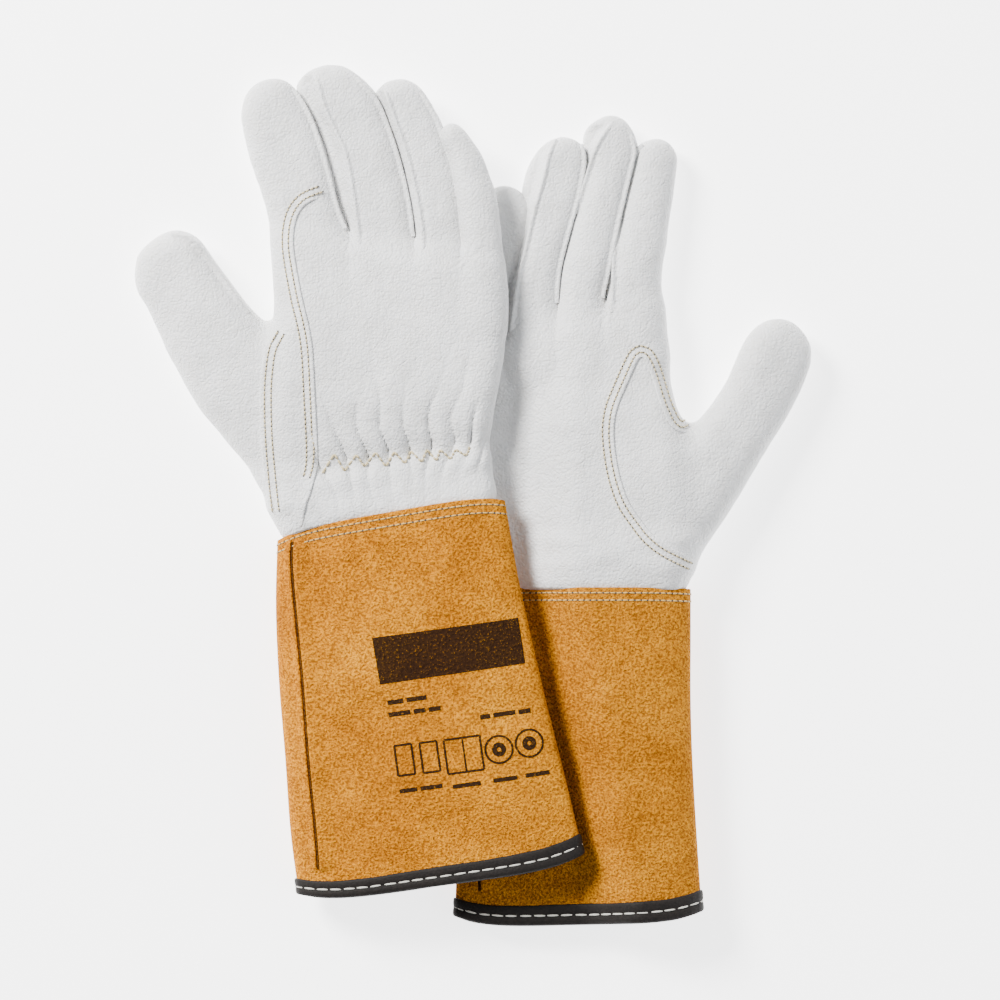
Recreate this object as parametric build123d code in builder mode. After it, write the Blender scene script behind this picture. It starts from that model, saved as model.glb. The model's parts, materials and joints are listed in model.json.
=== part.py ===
"""A pair of gauntlet welding gloves laid on a bench.

The lower glove lies with its palm up, and the upper glove, back of the hand up, rests on its edge.
Each glove is sewn from leather panels: a rolled index finger, fourchettes between the fingers,
a set-in thumb, a split-leather cuff in two panels, a bound hem and an elastic in the back of the wrist.
X runs across the gloves, +Y from the hems to the fingertips, +Z up from the bench. Millimetres.
"""

import math
import os

from build123d import *

os.makedirs("parts", exist_ok=True)

# ---------------------------------------------------------------- driving dimensions
HAND_WALL = 1.2          # grain leather of the hand
CUFF_WALL = 1.8          # split leather of the cuff
LAP = 9.0                # hand leather inside the top of the cuff
BIND_WIDTH = 7.0         # hem binding, height on each face
BIND_THICK = 0.9
ELASTIC_WIDTH = 7.0
ELASTIC_THICK = 1.0
THREAD = 0.8             # sewing thread, width of a row
GAP = 0.6                # clearance between pieces that move apart
FINGER_GAP = 1.3         # clearance between neighbouring fingers
POWER = 3.0              # roundness of the sections
COUNT = 24               # corners of a section
THREAD_RISE = 0.5        # how far the rows of thread stand on the leather



def level(table, s):
    """Height at the share s of a section's width, read from a table of (share, height)."""
    if s <= table[0][0]:
        return table[0][1]
    for (s0, z0), (s1, z1) in zip(table, table[1:]):
        if s <= s1:
            return z0 + (z1 - z0) * (s - s0) / (s1 - s0)
    return table[-1][1]


def outline(width, bottom, top, inset):
    """Closed oval between a bottom and a top profile, pulled in by inset."""
    points = []
    for k in range(COUNT):
        a = 2 * math.pi * (k + 0.5) / COUNT
        ca, sa = math.cos(a), math.sin(a)
        cx = math.copysign(abs(ca) ** (2 / POWER), ca)
        cz = math.copysign(1.0 if abs(sa) > 0.99 else abs(sa) ** (2 / POWER), sa)
        s = (cx + 1) / 2
        low, high = level(bottom, s) + inset, level(top, s) - inset
        points.append((cx * (width / 2 - inset), (low + high) / 2 + (high - low) / 2 * cz))
    return points


def plane_of(left, right, shift=0.0):
    """Upright plane through two bench points, moved along the glove by shift."""
    lx, ly = left
    rx, ry = right
    w = math.hypot(rx - lx, ry - ly)
    ux, uy = (rx - lx) / w, (ry - ly) / w
    ahead = (-uy, ux)
    origin = ((lx + rx) / 2 + ahead[0] * shift, (ly + ry) / 2 + ahead[1] * shift, 0)
    return Plane(origin=origin, x_dir=(ux, uy, 0), z_dir=(-ahead[0], -ahead[1], 0)), w


def tube(sections, inset, start=0.0, end=0.0):
    """Solid through sections of (left, right, bottom, top), its ends moved along by start and end."""
    with BuildPart() as made:
        for i, (left, right, bottom, top, *more) in enumerate(sections):
            extra = more[0] if more else 0.0
            shift = start if i == 0 else end if i == len(sections) - 1 else 0.0
            plane, w = plane_of(left, right, shift)
            with BuildSketch(plane):
                with BuildLine():
                    Polyline(*outline(w, bottom, top, inset + extra), close=True)
                make_face()
        loft(ruled=True)
    return made.part


def between(a, b, t):
    """The section a share t of the way from a to b."""
    mix = lambda p, q: tuple(x + (y - x) * t for x, y in zip(p, q))
    shares = sorted({s for s, _ in a[2] + b[2] + a[3] + b[3]})
    table = lambda i: [(s, level(a[i], s) * (1 - t) + level(b[i], s) * t) for s in shares]
    extra = [(a[4] if len(a) > 4 else 0) * (1 - t) + (b[4] if len(b) > 4 else 0) * t]
    return (mix(a[0], b[0]), mix(a[1], b[1]), table(2), table(3), *extra)


def along(section, shift):
    """The same section moved along the glove."""
    plane, _ = plane_of(section[0], section[1])
    dx, dy = -plane.z_dir.X * shift, -plane.z_dir.Y * shift
    move = lambda p: (p[0] + dx, p[1] + dy)
    return (move(section[0]), move(section[1]), *section[2:])


def three_point_plane(p1, p2, p3):
    """Plane through three points."""
    a, b, c = Vector(*p1), Vector(*p2), Vector(*p3)
    normal = (b - a).cross(c - a).normalized()
    return Plane(origin=a, x_dir=(b - a).normalized(), z_dir=normal)


def shell(outer, inner):
    with BuildPart() as made:
        add(outer)
        add(inner, mode=Mode.SUBTRACT)
    return made.part


def halves(body, plane):
    """The body cut in two by a plane: the side its normal points to, and the other."""
    with BuildPart() as first:
        add(body)
        split(bisect_by=plane, keep=Keep.TOP)
    with BuildPart() as second:
        add(body)
        split(bisect_by=plane, keep=Keep.BOTTOM)
    return first.part, second.part


def minus(body, *tools):
    with BuildPart() as made:
        add(body)
        for tool in tools:
            add(tool, mode=Mode.SUBTRACT)
    return made.part


def common(body, tool):
    with BuildPart() as made:
        add(body)
        add(tool, mode=Mode.INTERSECT)
    return made.part


def slab(left, right, before, after, low=-40.0, high=80.0, wider=60.0):
    """Upright block standing on the line left-right, reaching before and after it along the glove."""
    lx, ly = left
    rx, ry = right
    w = math.hypot(rx - lx, ry - ly)
    ux, uy = (rx - lx) / w, (ry - ly) / w
    with BuildPart() as made:
        with BuildSketch(Plane(origin=((lx + rx) / 2, (ly + ry) / 2, low), x_dir=(ux, uy, 0), z_dir=(0, 0, 1))):
            with Locations((0, (after - before) / 2)):
                Rectangle(w + 2 * wider, before + after)
        extrude(amount=high - low)
    return made.part


def ribbon(points, width):
    """Outline of a flat strip of the given width along bench points, with mitred corners."""
    sides = [[], []]
    for i, (x, y) in enumerate(points):
        ins = points[max(i - 1, 0)]
        out = points[min(i + 1, len(points) - 1)]
        before = (x - ins[0], y - ins[1]) if i else (out[0] - x, out[1] - y)
        after = (out[0] - x, out[1] - y) if i < len(points) - 1 else before
        n1 = (-before[1] / math.hypot(*before), before[0] / math.hypot(*before))
        n2 = (-after[1] / math.hypot(*after), after[0] / math.hypot(*after))
        nx, ny = n1[0] + n2[0], n1[1] + n2[1]
        k = 2 / (nx * nx + ny * ny)
        sides[0].append((x + nx * k * width / 2, y + ny * k * width / 2))
        sides[1].append((x - nx * k * width / 2, y - ny * k * width / 2))
    return sides[0] + sides[1][::-1]


def sewn(skin, lines, low, high):
    """Rows of thread lying on a body: the strips of its skin over the given lines."""
    rows = []
    for line in lines:
        with BuildPart() as wall:
            with BuildSketch(Plane.XY.offset(low)):
                with BuildLine():
                    Polyline(*ribbon(line, THREAD), close=True)
                make_face()
            extrude(amount=high - low)
        rows.append(common(skin, wall.part))
    with BuildPart() as made:
        add(rows)
    return made.part


def keep(name, body):
    """Sets one finished sub-part aside, its solids only."""
    solids = [s for s in body.solids() if s.volume > 0.5]
    with BuildPart() as made:
        add(solids)
    finished.append((name, made.part))


finished = []


def flat(z):
    return [(0, z), (1, z)]


# ---------------------------------------------------------------- the two gloves' layout
# A section is (left point, right point, bottom profile, top profile).
UPPER = {
    "name": "upper",
    "back_up": True,
    "cuff": [
        ((-73.9, -165.3), (45.8, -151.4), [(0, 1.5), (0.40, 1.5), (0.57, 16), (1, 16.5)], [(0, 28), (0.5, 30), (0.8, 34), (1, 34)]),
        ((-78.1, -109.4), (35.3, -103.1), [(0, 0), (0.48, 0), (0.65, 16), (1, 16.5)], [(0, 28), (0.5, 30), (0.8, 34), (1, 34)]),
        ((-81.5, -59.0), (24.8, -52.7), [(0, 0), (0.58, 0), (0.75, 15), (1, 15.5)], [(0, 27), (0.6, 29), (0.85, 32), (1, 32)]),
        ((-82.3, -15.8), (13.4, -0.2), [(0, 0.7), (0.64, 0.7), (0.82, 14), (1, 14.5)], [(0, 26), (0.6, 28), (0.85, 31), (1, 31)]),
    ],
    "hand": [
        ((-82.3, -15.8), (13.4, -0.2), [(0, 0.7), (0.64, 0.7), (0.82, 14), (1, 14.5)], [(0, 26), (0.6, 28), (0.85, 31), (1, 31)]),
        ((-86.9, 9.0), (7.6, 23.3), [(0, 0), (0.64, 0), (0.83, 13.5), (1, 14)], [(0, 24), (0.5, 26), (1, 29)]),
        ((-87.8, 41.8), (11.3, 48.1), [(0, 0), (0.60, 0), (0.81, 13.5), (1, 14)], [(0, 26), (0.5, 29), (1, 30)]),
        ((-86.9, 71.2), (13.0, 75.4), [(0, 0), (0.60, 0), (0.81, 13.5), (1, 14)], [(0, 25), (0.5, 27), (1, 29)]),
        ((-84.4, 106.5), (12.6, 98.1), [(0, 0), (0.55, 0), (0.83, 13.5), (1, 14)], [(0, 20), (0.5, 22), (0.8, 26), (1, 28)]),
    ],
    # base centre, tip centre, width at the base and near the tip, bottom profile, top profile at the base
    "fingers": {
        "index": ((-69.5, 106.0), (-86.1, 177.4), 30.0, 28.0, [(0, 0.0), (1, 0.2)], [(0, 19.5), (1, 20.0)]),
        "middle": ((-38.5, 104.0), (-58.8, 183.8), 27.0, 25.0, [(0, 0.2), (1, 1.5)], [(0, 20.5), (1, 21.5)]),
        "ring": ((-13.6, 100.6), (-27.7, 177.0), 19.2, 19.2, [(0, 5.0), (1, 8.0)], [(0, 22.0), (1, 25.0)]),
        "little": ((5.2, 98.9), (-6.9, 156.9), 14.0, 13.6, [(0, 13.5), (1, 14.0)], [(0, 27.0), (1, 28.0)]),
    },
    "order": ["index", "middle", "ring", "little"],
    "thumb": {
        "spine": [(-83.2, 8.2), (-90.6, 27.5), (-96.6, 41.8), (-106.3, 59.8), (-116.8, 79.6), (-126.4, 98.5), (-130.6, 107.0)],
        "half": [13.0, 16.0, 18.0, 20.0, 18.5, 14.5, 8.0],
        "top": [22, 22, 22, 21.5, 20, 18, 14],
        "bottom": [0, 0, 0, 0, 0, 0, 2.5],
        "root": ((-88.8, -5.0), (-88.8, 76.0)),
    },
    "thumb_mouth": ((-88.0, 16.0), (-88.0, 60.0)),
}
LOWER = {
    "name": "lower",
    "back_up": False,
    "cuff": [
        ((-7.6, -175.8), (96.6, -175.8), flat(1.5), [(0, 14), (0.50, 14.5), (0.75, 28), (1, 29)]),
        ((-5.5, -126.2), (93.2, -126.2), flat(0), [(0, 14), (0.42, 14.5), (0.70, 28), (1, 29)]),
        ((-3.4, -80.0), (91.6, -80.0), flat(0), [(0, 13.5), (0.32, 14), (0.60, 27), (1, 28)]),
        ((-1.3, -37.2), (91.6, -37.2), flat(0.7), [(0, 12), (0.26, 12.5), (0.52, 26), (1, 27)]),
    ],
    "hand": [
        ((-1.3, -37.2), (91.6, -37.2), flat(0.7), [(0, 12), (0.26, 12.5), (0.52, 26), (1, 27)]),
        ((-3.4, -10.3), (90.3, -10.3), flat(1.0), [(0, 11.5), (0.24, 12), (0.50, 24.5), (1, 25)]),
        ((-6.3, 29.2), (84.4, 29.2), flat(0), [(0, 11.5), (0.24, 12), (0.52, 26), (1, 26)]),
        ((-8.8, 70.4), (80.2, 81.3), flat(0), [(0, 11.5), (0.26, 12), (0.50, 18.5), (1, 19.5)]),
    ],
    "fingers": {
        "index": ((68.9, 79.9), (77.3, 152.7), 21.0, 20.0, flat(0), [(0, 18.0), (1, 18.0)]),
        "middle": ((46.4, 77.2), (58.4, 162.3), 19.6, 19.0, flat(0), [(0, 17.5), (1, 18.0)]),
        "ring": ((25.0, 74.6), (37.6, 153.1), 19.0, 18.8, flat(0), [(0, 14.5), (1, 16.5)]),
        "little": ((3.2, 71.9), (13.0, 132.9), 20.2, 19.2, flat(0), [(0, 11.5), (0.6, 11.5), (1, 12.5)]),
    },
    "order": ["little", "ring", "middle", "index"],
    "thumb": {
        "spine": [(84.0, -15.0), (91.1, -2.3), (100.4, 14.5), (110.0, 31.3), (119.3, 46.8), (128.1, 62.8), (132.0, 70.0)],
        "half": [15.0, 16.8, 18.0, 18.0, 17.0, 15.0, 8.0],
        "top": [22, 22.5, 22.5, 22, 20, 18, 14],
        "bottom": [0, 0, 0, 0, 0, 0, 2.5],
        "root": ((93.1, -23.0), (85.2, 38.0)),
    },
    "thumb_mouth": ((90.2, -8.0), (85.9, 26.0)),
}


def finger_sections(spec):
    """Sections of a finger from behind its base to its closed tip."""
    (bx, by), (tx, ty), w0, w1, bottom, top = spec
    length = math.hypot(tx - bx, ty - by)
    ax, ay = (tx - bx) / length, (ty - by) / length
    ux, uy = ay, -ax
    shrink = lambda table, z, k: [(s, z + (h - z) * k) for s, h in table]
    middle = (level(bottom, 0.5) + level(top, 0.5)) / 2
    rows = [(-9.0, w0, 1.0), (length * 0.45, w0 * 0.55 + w1 * 0.45, 0.97), (length - w1 * 0.42, w1, 0.88), (length - w1 * 0.12, w1 * 0.74, 0.66), (length, w1 * 0.36, 0.34)]
    made = []
    for d, w, k in rows:
        cx, cy = bx + ax * d, by + ay * d
        low = [(s, z + (1 - k) * 3.0) if k < 0.8 else (s, z) for s, z in bottom]
        high = shrink(top, level(bottom, 0.5) + (1 - k) * 3.0, k)
        made.append(((cx - ux * w / 2, cy - uy * w / 2), (cx + ux * w / 2, cy + uy * w / 2), low, high))
    return made


def build_glove(glove):
    name, back_up = glove["name"], glove["back_up"]
    hand, cuff = glove["hand"], glove["cuff"]
    thumb_left = back_up  # the thumb is on the left of the glove that shows its back

    # ------------------------------------------------ cuff: two split-leather panels
    cuff_outer = tube(cuff, 0)
    cuff_wall = shell(cuff_outer, tube(cuff, CUFF_WALL, -2, 2))
    (lx0, ly0), (rx0, ry0), low0, high0 = cuff[0]
    (lx1, ly1), (rx1, ry1), low1, high1 = cuff[-1]
    share = 0.088 if back_up else 0.105
    edge = 1 - share
    spot = lambda left, right, s, z: (left[0] + (right[0] - left[0]) * s, left[1] + (right[1] - left[1]) * s, z)
    seam_plane = three_point_plane(
        spot((lx0, ly0), (rx0, ry0), share, level(high0, share) - 2),
        spot((lx1, ly1), (rx1, ry1), share + 0.03, level(high1, share) - 2),
        spot((lx0, ly0), (rx0, ry0), edge, level(low0, edge) + 1),
    )
    one, two = halves(cuff_wall, seam_plane)
    top_one = one.center().Z > two.center().Z
    upper_panel, lower_panel = (one, two) if top_one else (two, one)
    keep(f"{name}_cuff_{'back' if back_up else 'palm'}_panel", upper_panel)
    keep(f"{name}_cuff_{'palm' if back_up else 'back'}_panel", lower_panel)

    # ------------------------------------------------ hem binding: one tape folded over the hem
    hem = [along(cuff[0], -BIND_THICK), between(cuff[0], cuff[1], BIND_WIDTH / 50.0)]
    band = shell(tube(hem, -BIND_THICK), tube(hem, CUFF_WALL + BIND_THICK, -2, 2))
    binding = minus(band, cuff_wall)
    keep(f"{name}_hem_binding", binding)

    # stitching of the hem, one row round the binding
    ring = [between(cuff[0], cuff[1], 3.2 / 50.0), between(cuff[0], cuff[1], (3.2 + THREAD) / 50.0)]
    keep(f"{name}_hem_stitching", shell(tube(ring, -BIND_THICK - 0.56), tube(ring, -BIND_THICK - 0.06, -1, 1)))
    # two rows round the top of the cuff
    tops = []
    for d in (1.8, 5.0):
        row = [between(cuff[-1], cuff[-2], d / 44.0), between(cuff[-1], cuff[-2], (d - THREAD) / 44.0)]
        tops.append(shell(tube(row, -0.56), tube(row, -0.06, -1, 1)))
    with BuildPart() as cuff_rows:
        add(tops)
    keep(f"{name}_cuff_seam_stitching", cuff_rows.part)

    # ------------------------------------------------ hand leather: one tube, cut at the wrist's bend
    lapped = [along((*hand[0], CUFF_WALL + 0.1), -LAP), (*hand[0], CUFF_WALL + 0.1), *hand[1:]]
    hand_outer = tube(lapped, 0)
    hand_inner = tube(lapped, HAND_WALL, -2, 3)
    leather = shell(hand_outer, hand_inner)
    wrist_left, wrist_right = hand[1][0], hand[1][1]
    wrist_middle = (level(hand[1][2], 0.5) + level(hand[1][3], 0.5)) / 2 + (1.5 if back_up else 0)
    leather = minus(leather, slab(wrist_left, wrist_right, GAP / 2, GAP / 2))
    mouth = slab(*glove["thumb_mouth"], 4.0, 4.0, 6.0, 17.0, wider=0)
    leather = minus(leather, mouth)

    beyond_wrist = slab(wrist_left, wrist_right, 0, 200)
    before_wrist = slab(wrist_left, wrist_right, 200, 0)
    hand_wall = common(leather, beyond_wrist)
    wrist_wall = minus(common(leather, before_wrist), cuff_wall)
    skin = shell(tube(lapped, -THREAD_RISE), hand_outer)
    face_low, face_high = (20.0, 60.0) if back_up else (-20.0, wrist_middle)

    # the back panel and the palm panel meet along the rolled index finger's seam and the outer edge
    far, near = hand[-1], hand[1]
    inner_share = 0.12 if back_up else 0.80
    outer_share = 1.0 if back_up else 0.0
    near_inner = 0.225 if back_up else 0.78
    mid = lambda sec, s: (level(sec[2], s) + level(sec[3], s)) / 2
    if back_up:
        z_far, z_near = level(far[3], inner_share) - 1, level(near[3], near_inner) - 1
    else:
        z_far, z_near = level(far[2], inner_share) + 1, level(near[2], near_inner) + 1
    panel_plane = three_point_plane(
        spot(far[0], far[1], inner_share, z_far),
        spot(near[0], near[1], near_inner, z_near),
        spot(near[0], near[1], outer_share, mid(near, outer_share)),
    )
    one, two = halves(hand_wall, panel_plane)
    if (one.center().Z > two.center().Z) != back_up:
        one, two = two, one
    keep(f"{name}_hand_back_panel", one)
    keep(f"{name}_hand_palm_panel", two)
    low_sec = hand[0]
    if back_up:
        z_low = level(low_sec[3], 0.11) - 2
        wrist_plane = three_point_plane(
            spot(near[0], near[1], near_inner, z_near), spot(low_sec[0], low_sec[1], 0.11, z_low),
            spot(near[0], near[1], outer_share, mid(near, outer_share)),
        )
    else:
        z_low = level(low_sec[2], 0.85) + 2
        wrist_plane = three_point_plane(
            spot(near[0], near[1], near_inner, z_near), spot(low_sec[0], low_sec[1], 0.85, z_low),
            spot(near[0], near[1], outer_share, mid(near, outer_share)),
        )
    one, two = halves(wrist_wall, wrist_plane)
    if (one.center().Z > two.center().Z) != back_up:
        one, two = two, one
    keep(f"{name}_wrist_back_panel", one)
    keep(f"{name}_wrist_palm_panel", two)

    # ------------------------------------------------ elastic inside the back of the wrist
    strip = shell(tube(lapped, HAND_WALL), tube(lapped, HAND_WALL + ELASTIC_THICK, -2, 3))
    wl, wr = wrist_left, wrist_right
    start = 4.6
    zone = slab(wl, wr, -start, start + ELASTIC_WIDTH, *((wrist_middle + 5, 80) if back_up else (-40, wrist_middle - 5)), wider=-20)
    elastic = common(strip, zone)
    keep(f"{name}_wrist_elastic", elastic)

    # its zigzag row on the outside of the back
    plane, w = plane_of(wl, wr)
    first, last, cycles = (0.235, 0.90, 9) if back_up else (0.10, 0.765, 9)
    zigzag = []
    for i in range(2 * cycles + 1):
        s = first + (last - first) * i / (2 * cycles)
        d = start + (1.0 if i % 2 else 5.4)
        x = wl[0] + (wr[0] - wl[0]) * s - plane.z_dir.X * d
        y = wl[1] + (wr[1] - wl[1]) * s - plane.z_dir.Y * d
        zigzag.append((x, y))
    keep(f"{name}_elastic_stitching", sewn(skin, [zigzag], face_low, face_high))

    # two rows along the rolled index finger's seam
    rows = []
    for offset in (2.2, 4.8):
        side = -offset if back_up else offset
        row = []
        for i in range(9):
            t = i / 8
            d = 6.5 + t * 70.0
            s_in = near_inner + (inner_share - near_inner) * (d / 84.0)
            k = d / 84.0
            lx, ly = near[0][0] + (far[0][0] - near[0][0]) * k, near[0][1] + (far[0][1] - near[0][1]) * k
            rx, ry = near[1][0] + (far[1][0] - near[1][0]) * k, near[1][1] + (far[1][1] - near[1][1]) * k
            row.append((lx + (rx - lx) * s_in + side, ly + (ry - ly) * s_in))
        rows.append(row)
    keep(f"{name}_index_seam_stitching", sewn(skin, rows, face_low, face_high))

    # ------------------------------------------------ fingers
    knuckle_left, knuckle_right = hand[-1][0], hand[-1][1]
    past_knuckles = slab(knuckle_left, knuckle_right, -GAP, 200)
    order = glove["order"]
    for at, finger in enumerate(order):
        sections = finger_sections(glove["fingers"][finger])
        outer = tube(sections, 0)
        inner = tube(sections, HAND_WALL, -2, -HAND_WALL)
        body = common(shell(outer, inner), past_knuckles)
        (bx, by), (tx, ty), w0, w1, bottom, top = glove["fingers"][finger]
        length = math.hypot(tx - bx, ty - by)
        ax, ay = (tx - bx) / length, (ty - by) / length
        ux, uy = ay, -ax
        low_b, high_b = level(bottom, 0.5), level(top, 0.5)
        h = high_b - low_b
        # heights of the fourchette's two seams
        lower_cut, upper_cut = low_b + 0.30 * h, low_b + 0.66 * h
        cap = Plane(origin=(bx, by, upper_cut), x_dir=(ax, ay, 0), z_dir=(0, 0, 1))
        sole = Plane(origin=(bx, by, lower_cut), x_dir=(ax, ay, 0), z_dir=(0, 0, 1))
        crown, rest = halves(body, cap)
        walls, floor = halves(rest, sole)
        left_wall, right_wall = None, None
        middle_plane = Plane(origin=(bx, by, 0), x_dir=(ax, ay, 0), z_dir=(-ux, -uy, 0))
        left_wall, right_wall = halves(walls, middle_plane)
        face, sole_name = ("back", "palm") if back_up else ("palm", "back")
        neighbour_left = order[at - 1] if at > 0 else None
        neighbour_right = order[at + 1] if at < len(order) - 1 else None
        if finger == "index":
            # the palm panel rolls round the outside of the index finger on to its back
            outside = left_wall if neighbour_left is None else right_wall
            with BuildPart() as wrap:
                add(crown)
                add(floor)
                add(outside)
            keep(f"{name}_index_wrap_panel", wrap.part)
            keep(f"{name}_index_middle_side_fourchette", right_wall if neighbour_left is None else left_wall)
        elif finger == "little":
            outside = left_wall if neighbour_left is None else right_wall
            with BuildPart() as back:
                add(crown)
                add(outside)
            keep(f"{name}_little_{face}_panel", back.part)
            keep(f"{name}_little_{sole_name}_panel", floor)
            keep(f"{name}_little_ring_side_fourchette", right_wall if neighbour_left is None else left_wall)
        else:
            keep(f"{name}_{finger}_{face}_panel", crown)
            keep(f"{name}_{finger}_{sole_name}_panel", floor)
            keep(f"{name}_{finger}_{neighbour_left}_side_fourchette", left_wall)
            keep(f"{name}_{finger}_{neighbour_right}_side_fourchette", right_wall)

    # ------------------------------------------------ thumb, set in at the side of the palm
    spec = glove["thumb"]
    sections = []
    spine = spec["spine"]
    for i, (x, y) in enumerate(spine):
        px, py = spine[max(i - 1, 0)]
        qx, qy = spine[min(i + 1, len(spine) - 1)]
        length = math.hypot(qx - px, qy - py)
        ax, ay = (qx - px) / length, (qy - py) / length
        ux, uy = ay, -ax
        hw = spec["half"][i]
        sections.append(((x - ux * hw, y - uy * hw), (x + ux * hw, y + uy * hw), flat(spec["bottom"][i]), flat(spec["top"][i])))
    outer = tube(sections, 0)
    inner = tube(sections, HAND_WALL, -2, -HAND_WALL)
    (x0, y0), (x1, y1) = spec["root"]
    length = math.hypot(x1 - x0, y1 - y0)
    away = (-(y1 - y0) / length, (x1 - x0) / length) if thumb_left else ((y1 - y0) / length, -(x1 - x0) / length)
    root = Plane(origin=(x0, y0, 0), x_dir=((x1 - x0) / length, (y1 - y0) / length, 0), z_dir=(away[0], away[1], 0))
    thumb, _ = halves(shell(outer, inner), root)
    seam = Plane(origin=(x0, y0, 10.5), x_dir=((x1 - x0) / length, (y1 - y0) / length, 0), z_dir=(0, 0, 1))
    over, under = halves(thumb, seam)
    keep(f"{name}_thumb_{'back' if back_up else 'palm'}_panel", over)
    keep(f"{name}_thumb_{'palm' if back_up else 'back'}_panel", under)

    # two rows of thread where the thumb is set in, on the hand's side of the seam
    rows = []
    for offset in (3.0, 5.6):
        row = []
        for i in range(7):
            t = i / 6
            (mx, my), (nx, ny) = glove["thumb_mouth"]
            x = mx + (nx - mx) * t + (offset + 4.0) * (1 if thumb_left else -1)
            row.append((x, my + (ny - my) * t))
        rows.append(row)
    keep(f"{name}_thumb_seam_stitching", sewn(skin, rows, wrist_middle, 60.0))


build_glove(LOWER)
build_glove(UPPER)

# the middle of the pair's footprint becomes the origin, and every sub-part is written
boxes = [part.bounding_box() for _, part in finished]
shift = (
    -(min(b.min.X for b in boxes) + max(b.max.X for b in boxes)) / 2,
    -(min(b.min.Y for b in boxes) + max(b.max.Y for b in boxes)) / 2,
    -min(b.min.Z for b in boxes),
)
print("shift", [round(v, 4) for v in shift], "highest", round(max(b.max.Z for b in boxes), 3))
for name, part in finished:
    with BuildPart() as made:
        with Locations(shift):
            add(part)
    made.part.label = name
    export_step(made.part, f"parts/{name}.step")
    solids = made.part.solids()
    print(f"{name:44s} {len(solids):3d} {made.part.volume:9.0f} mm3  low {made.part.bounding_box().min.Z:6.2f}")
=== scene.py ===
"""A pair of gauntlet welding gloves on a pale surface: white grain leather hands, golden split-leather cuffs."""

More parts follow.
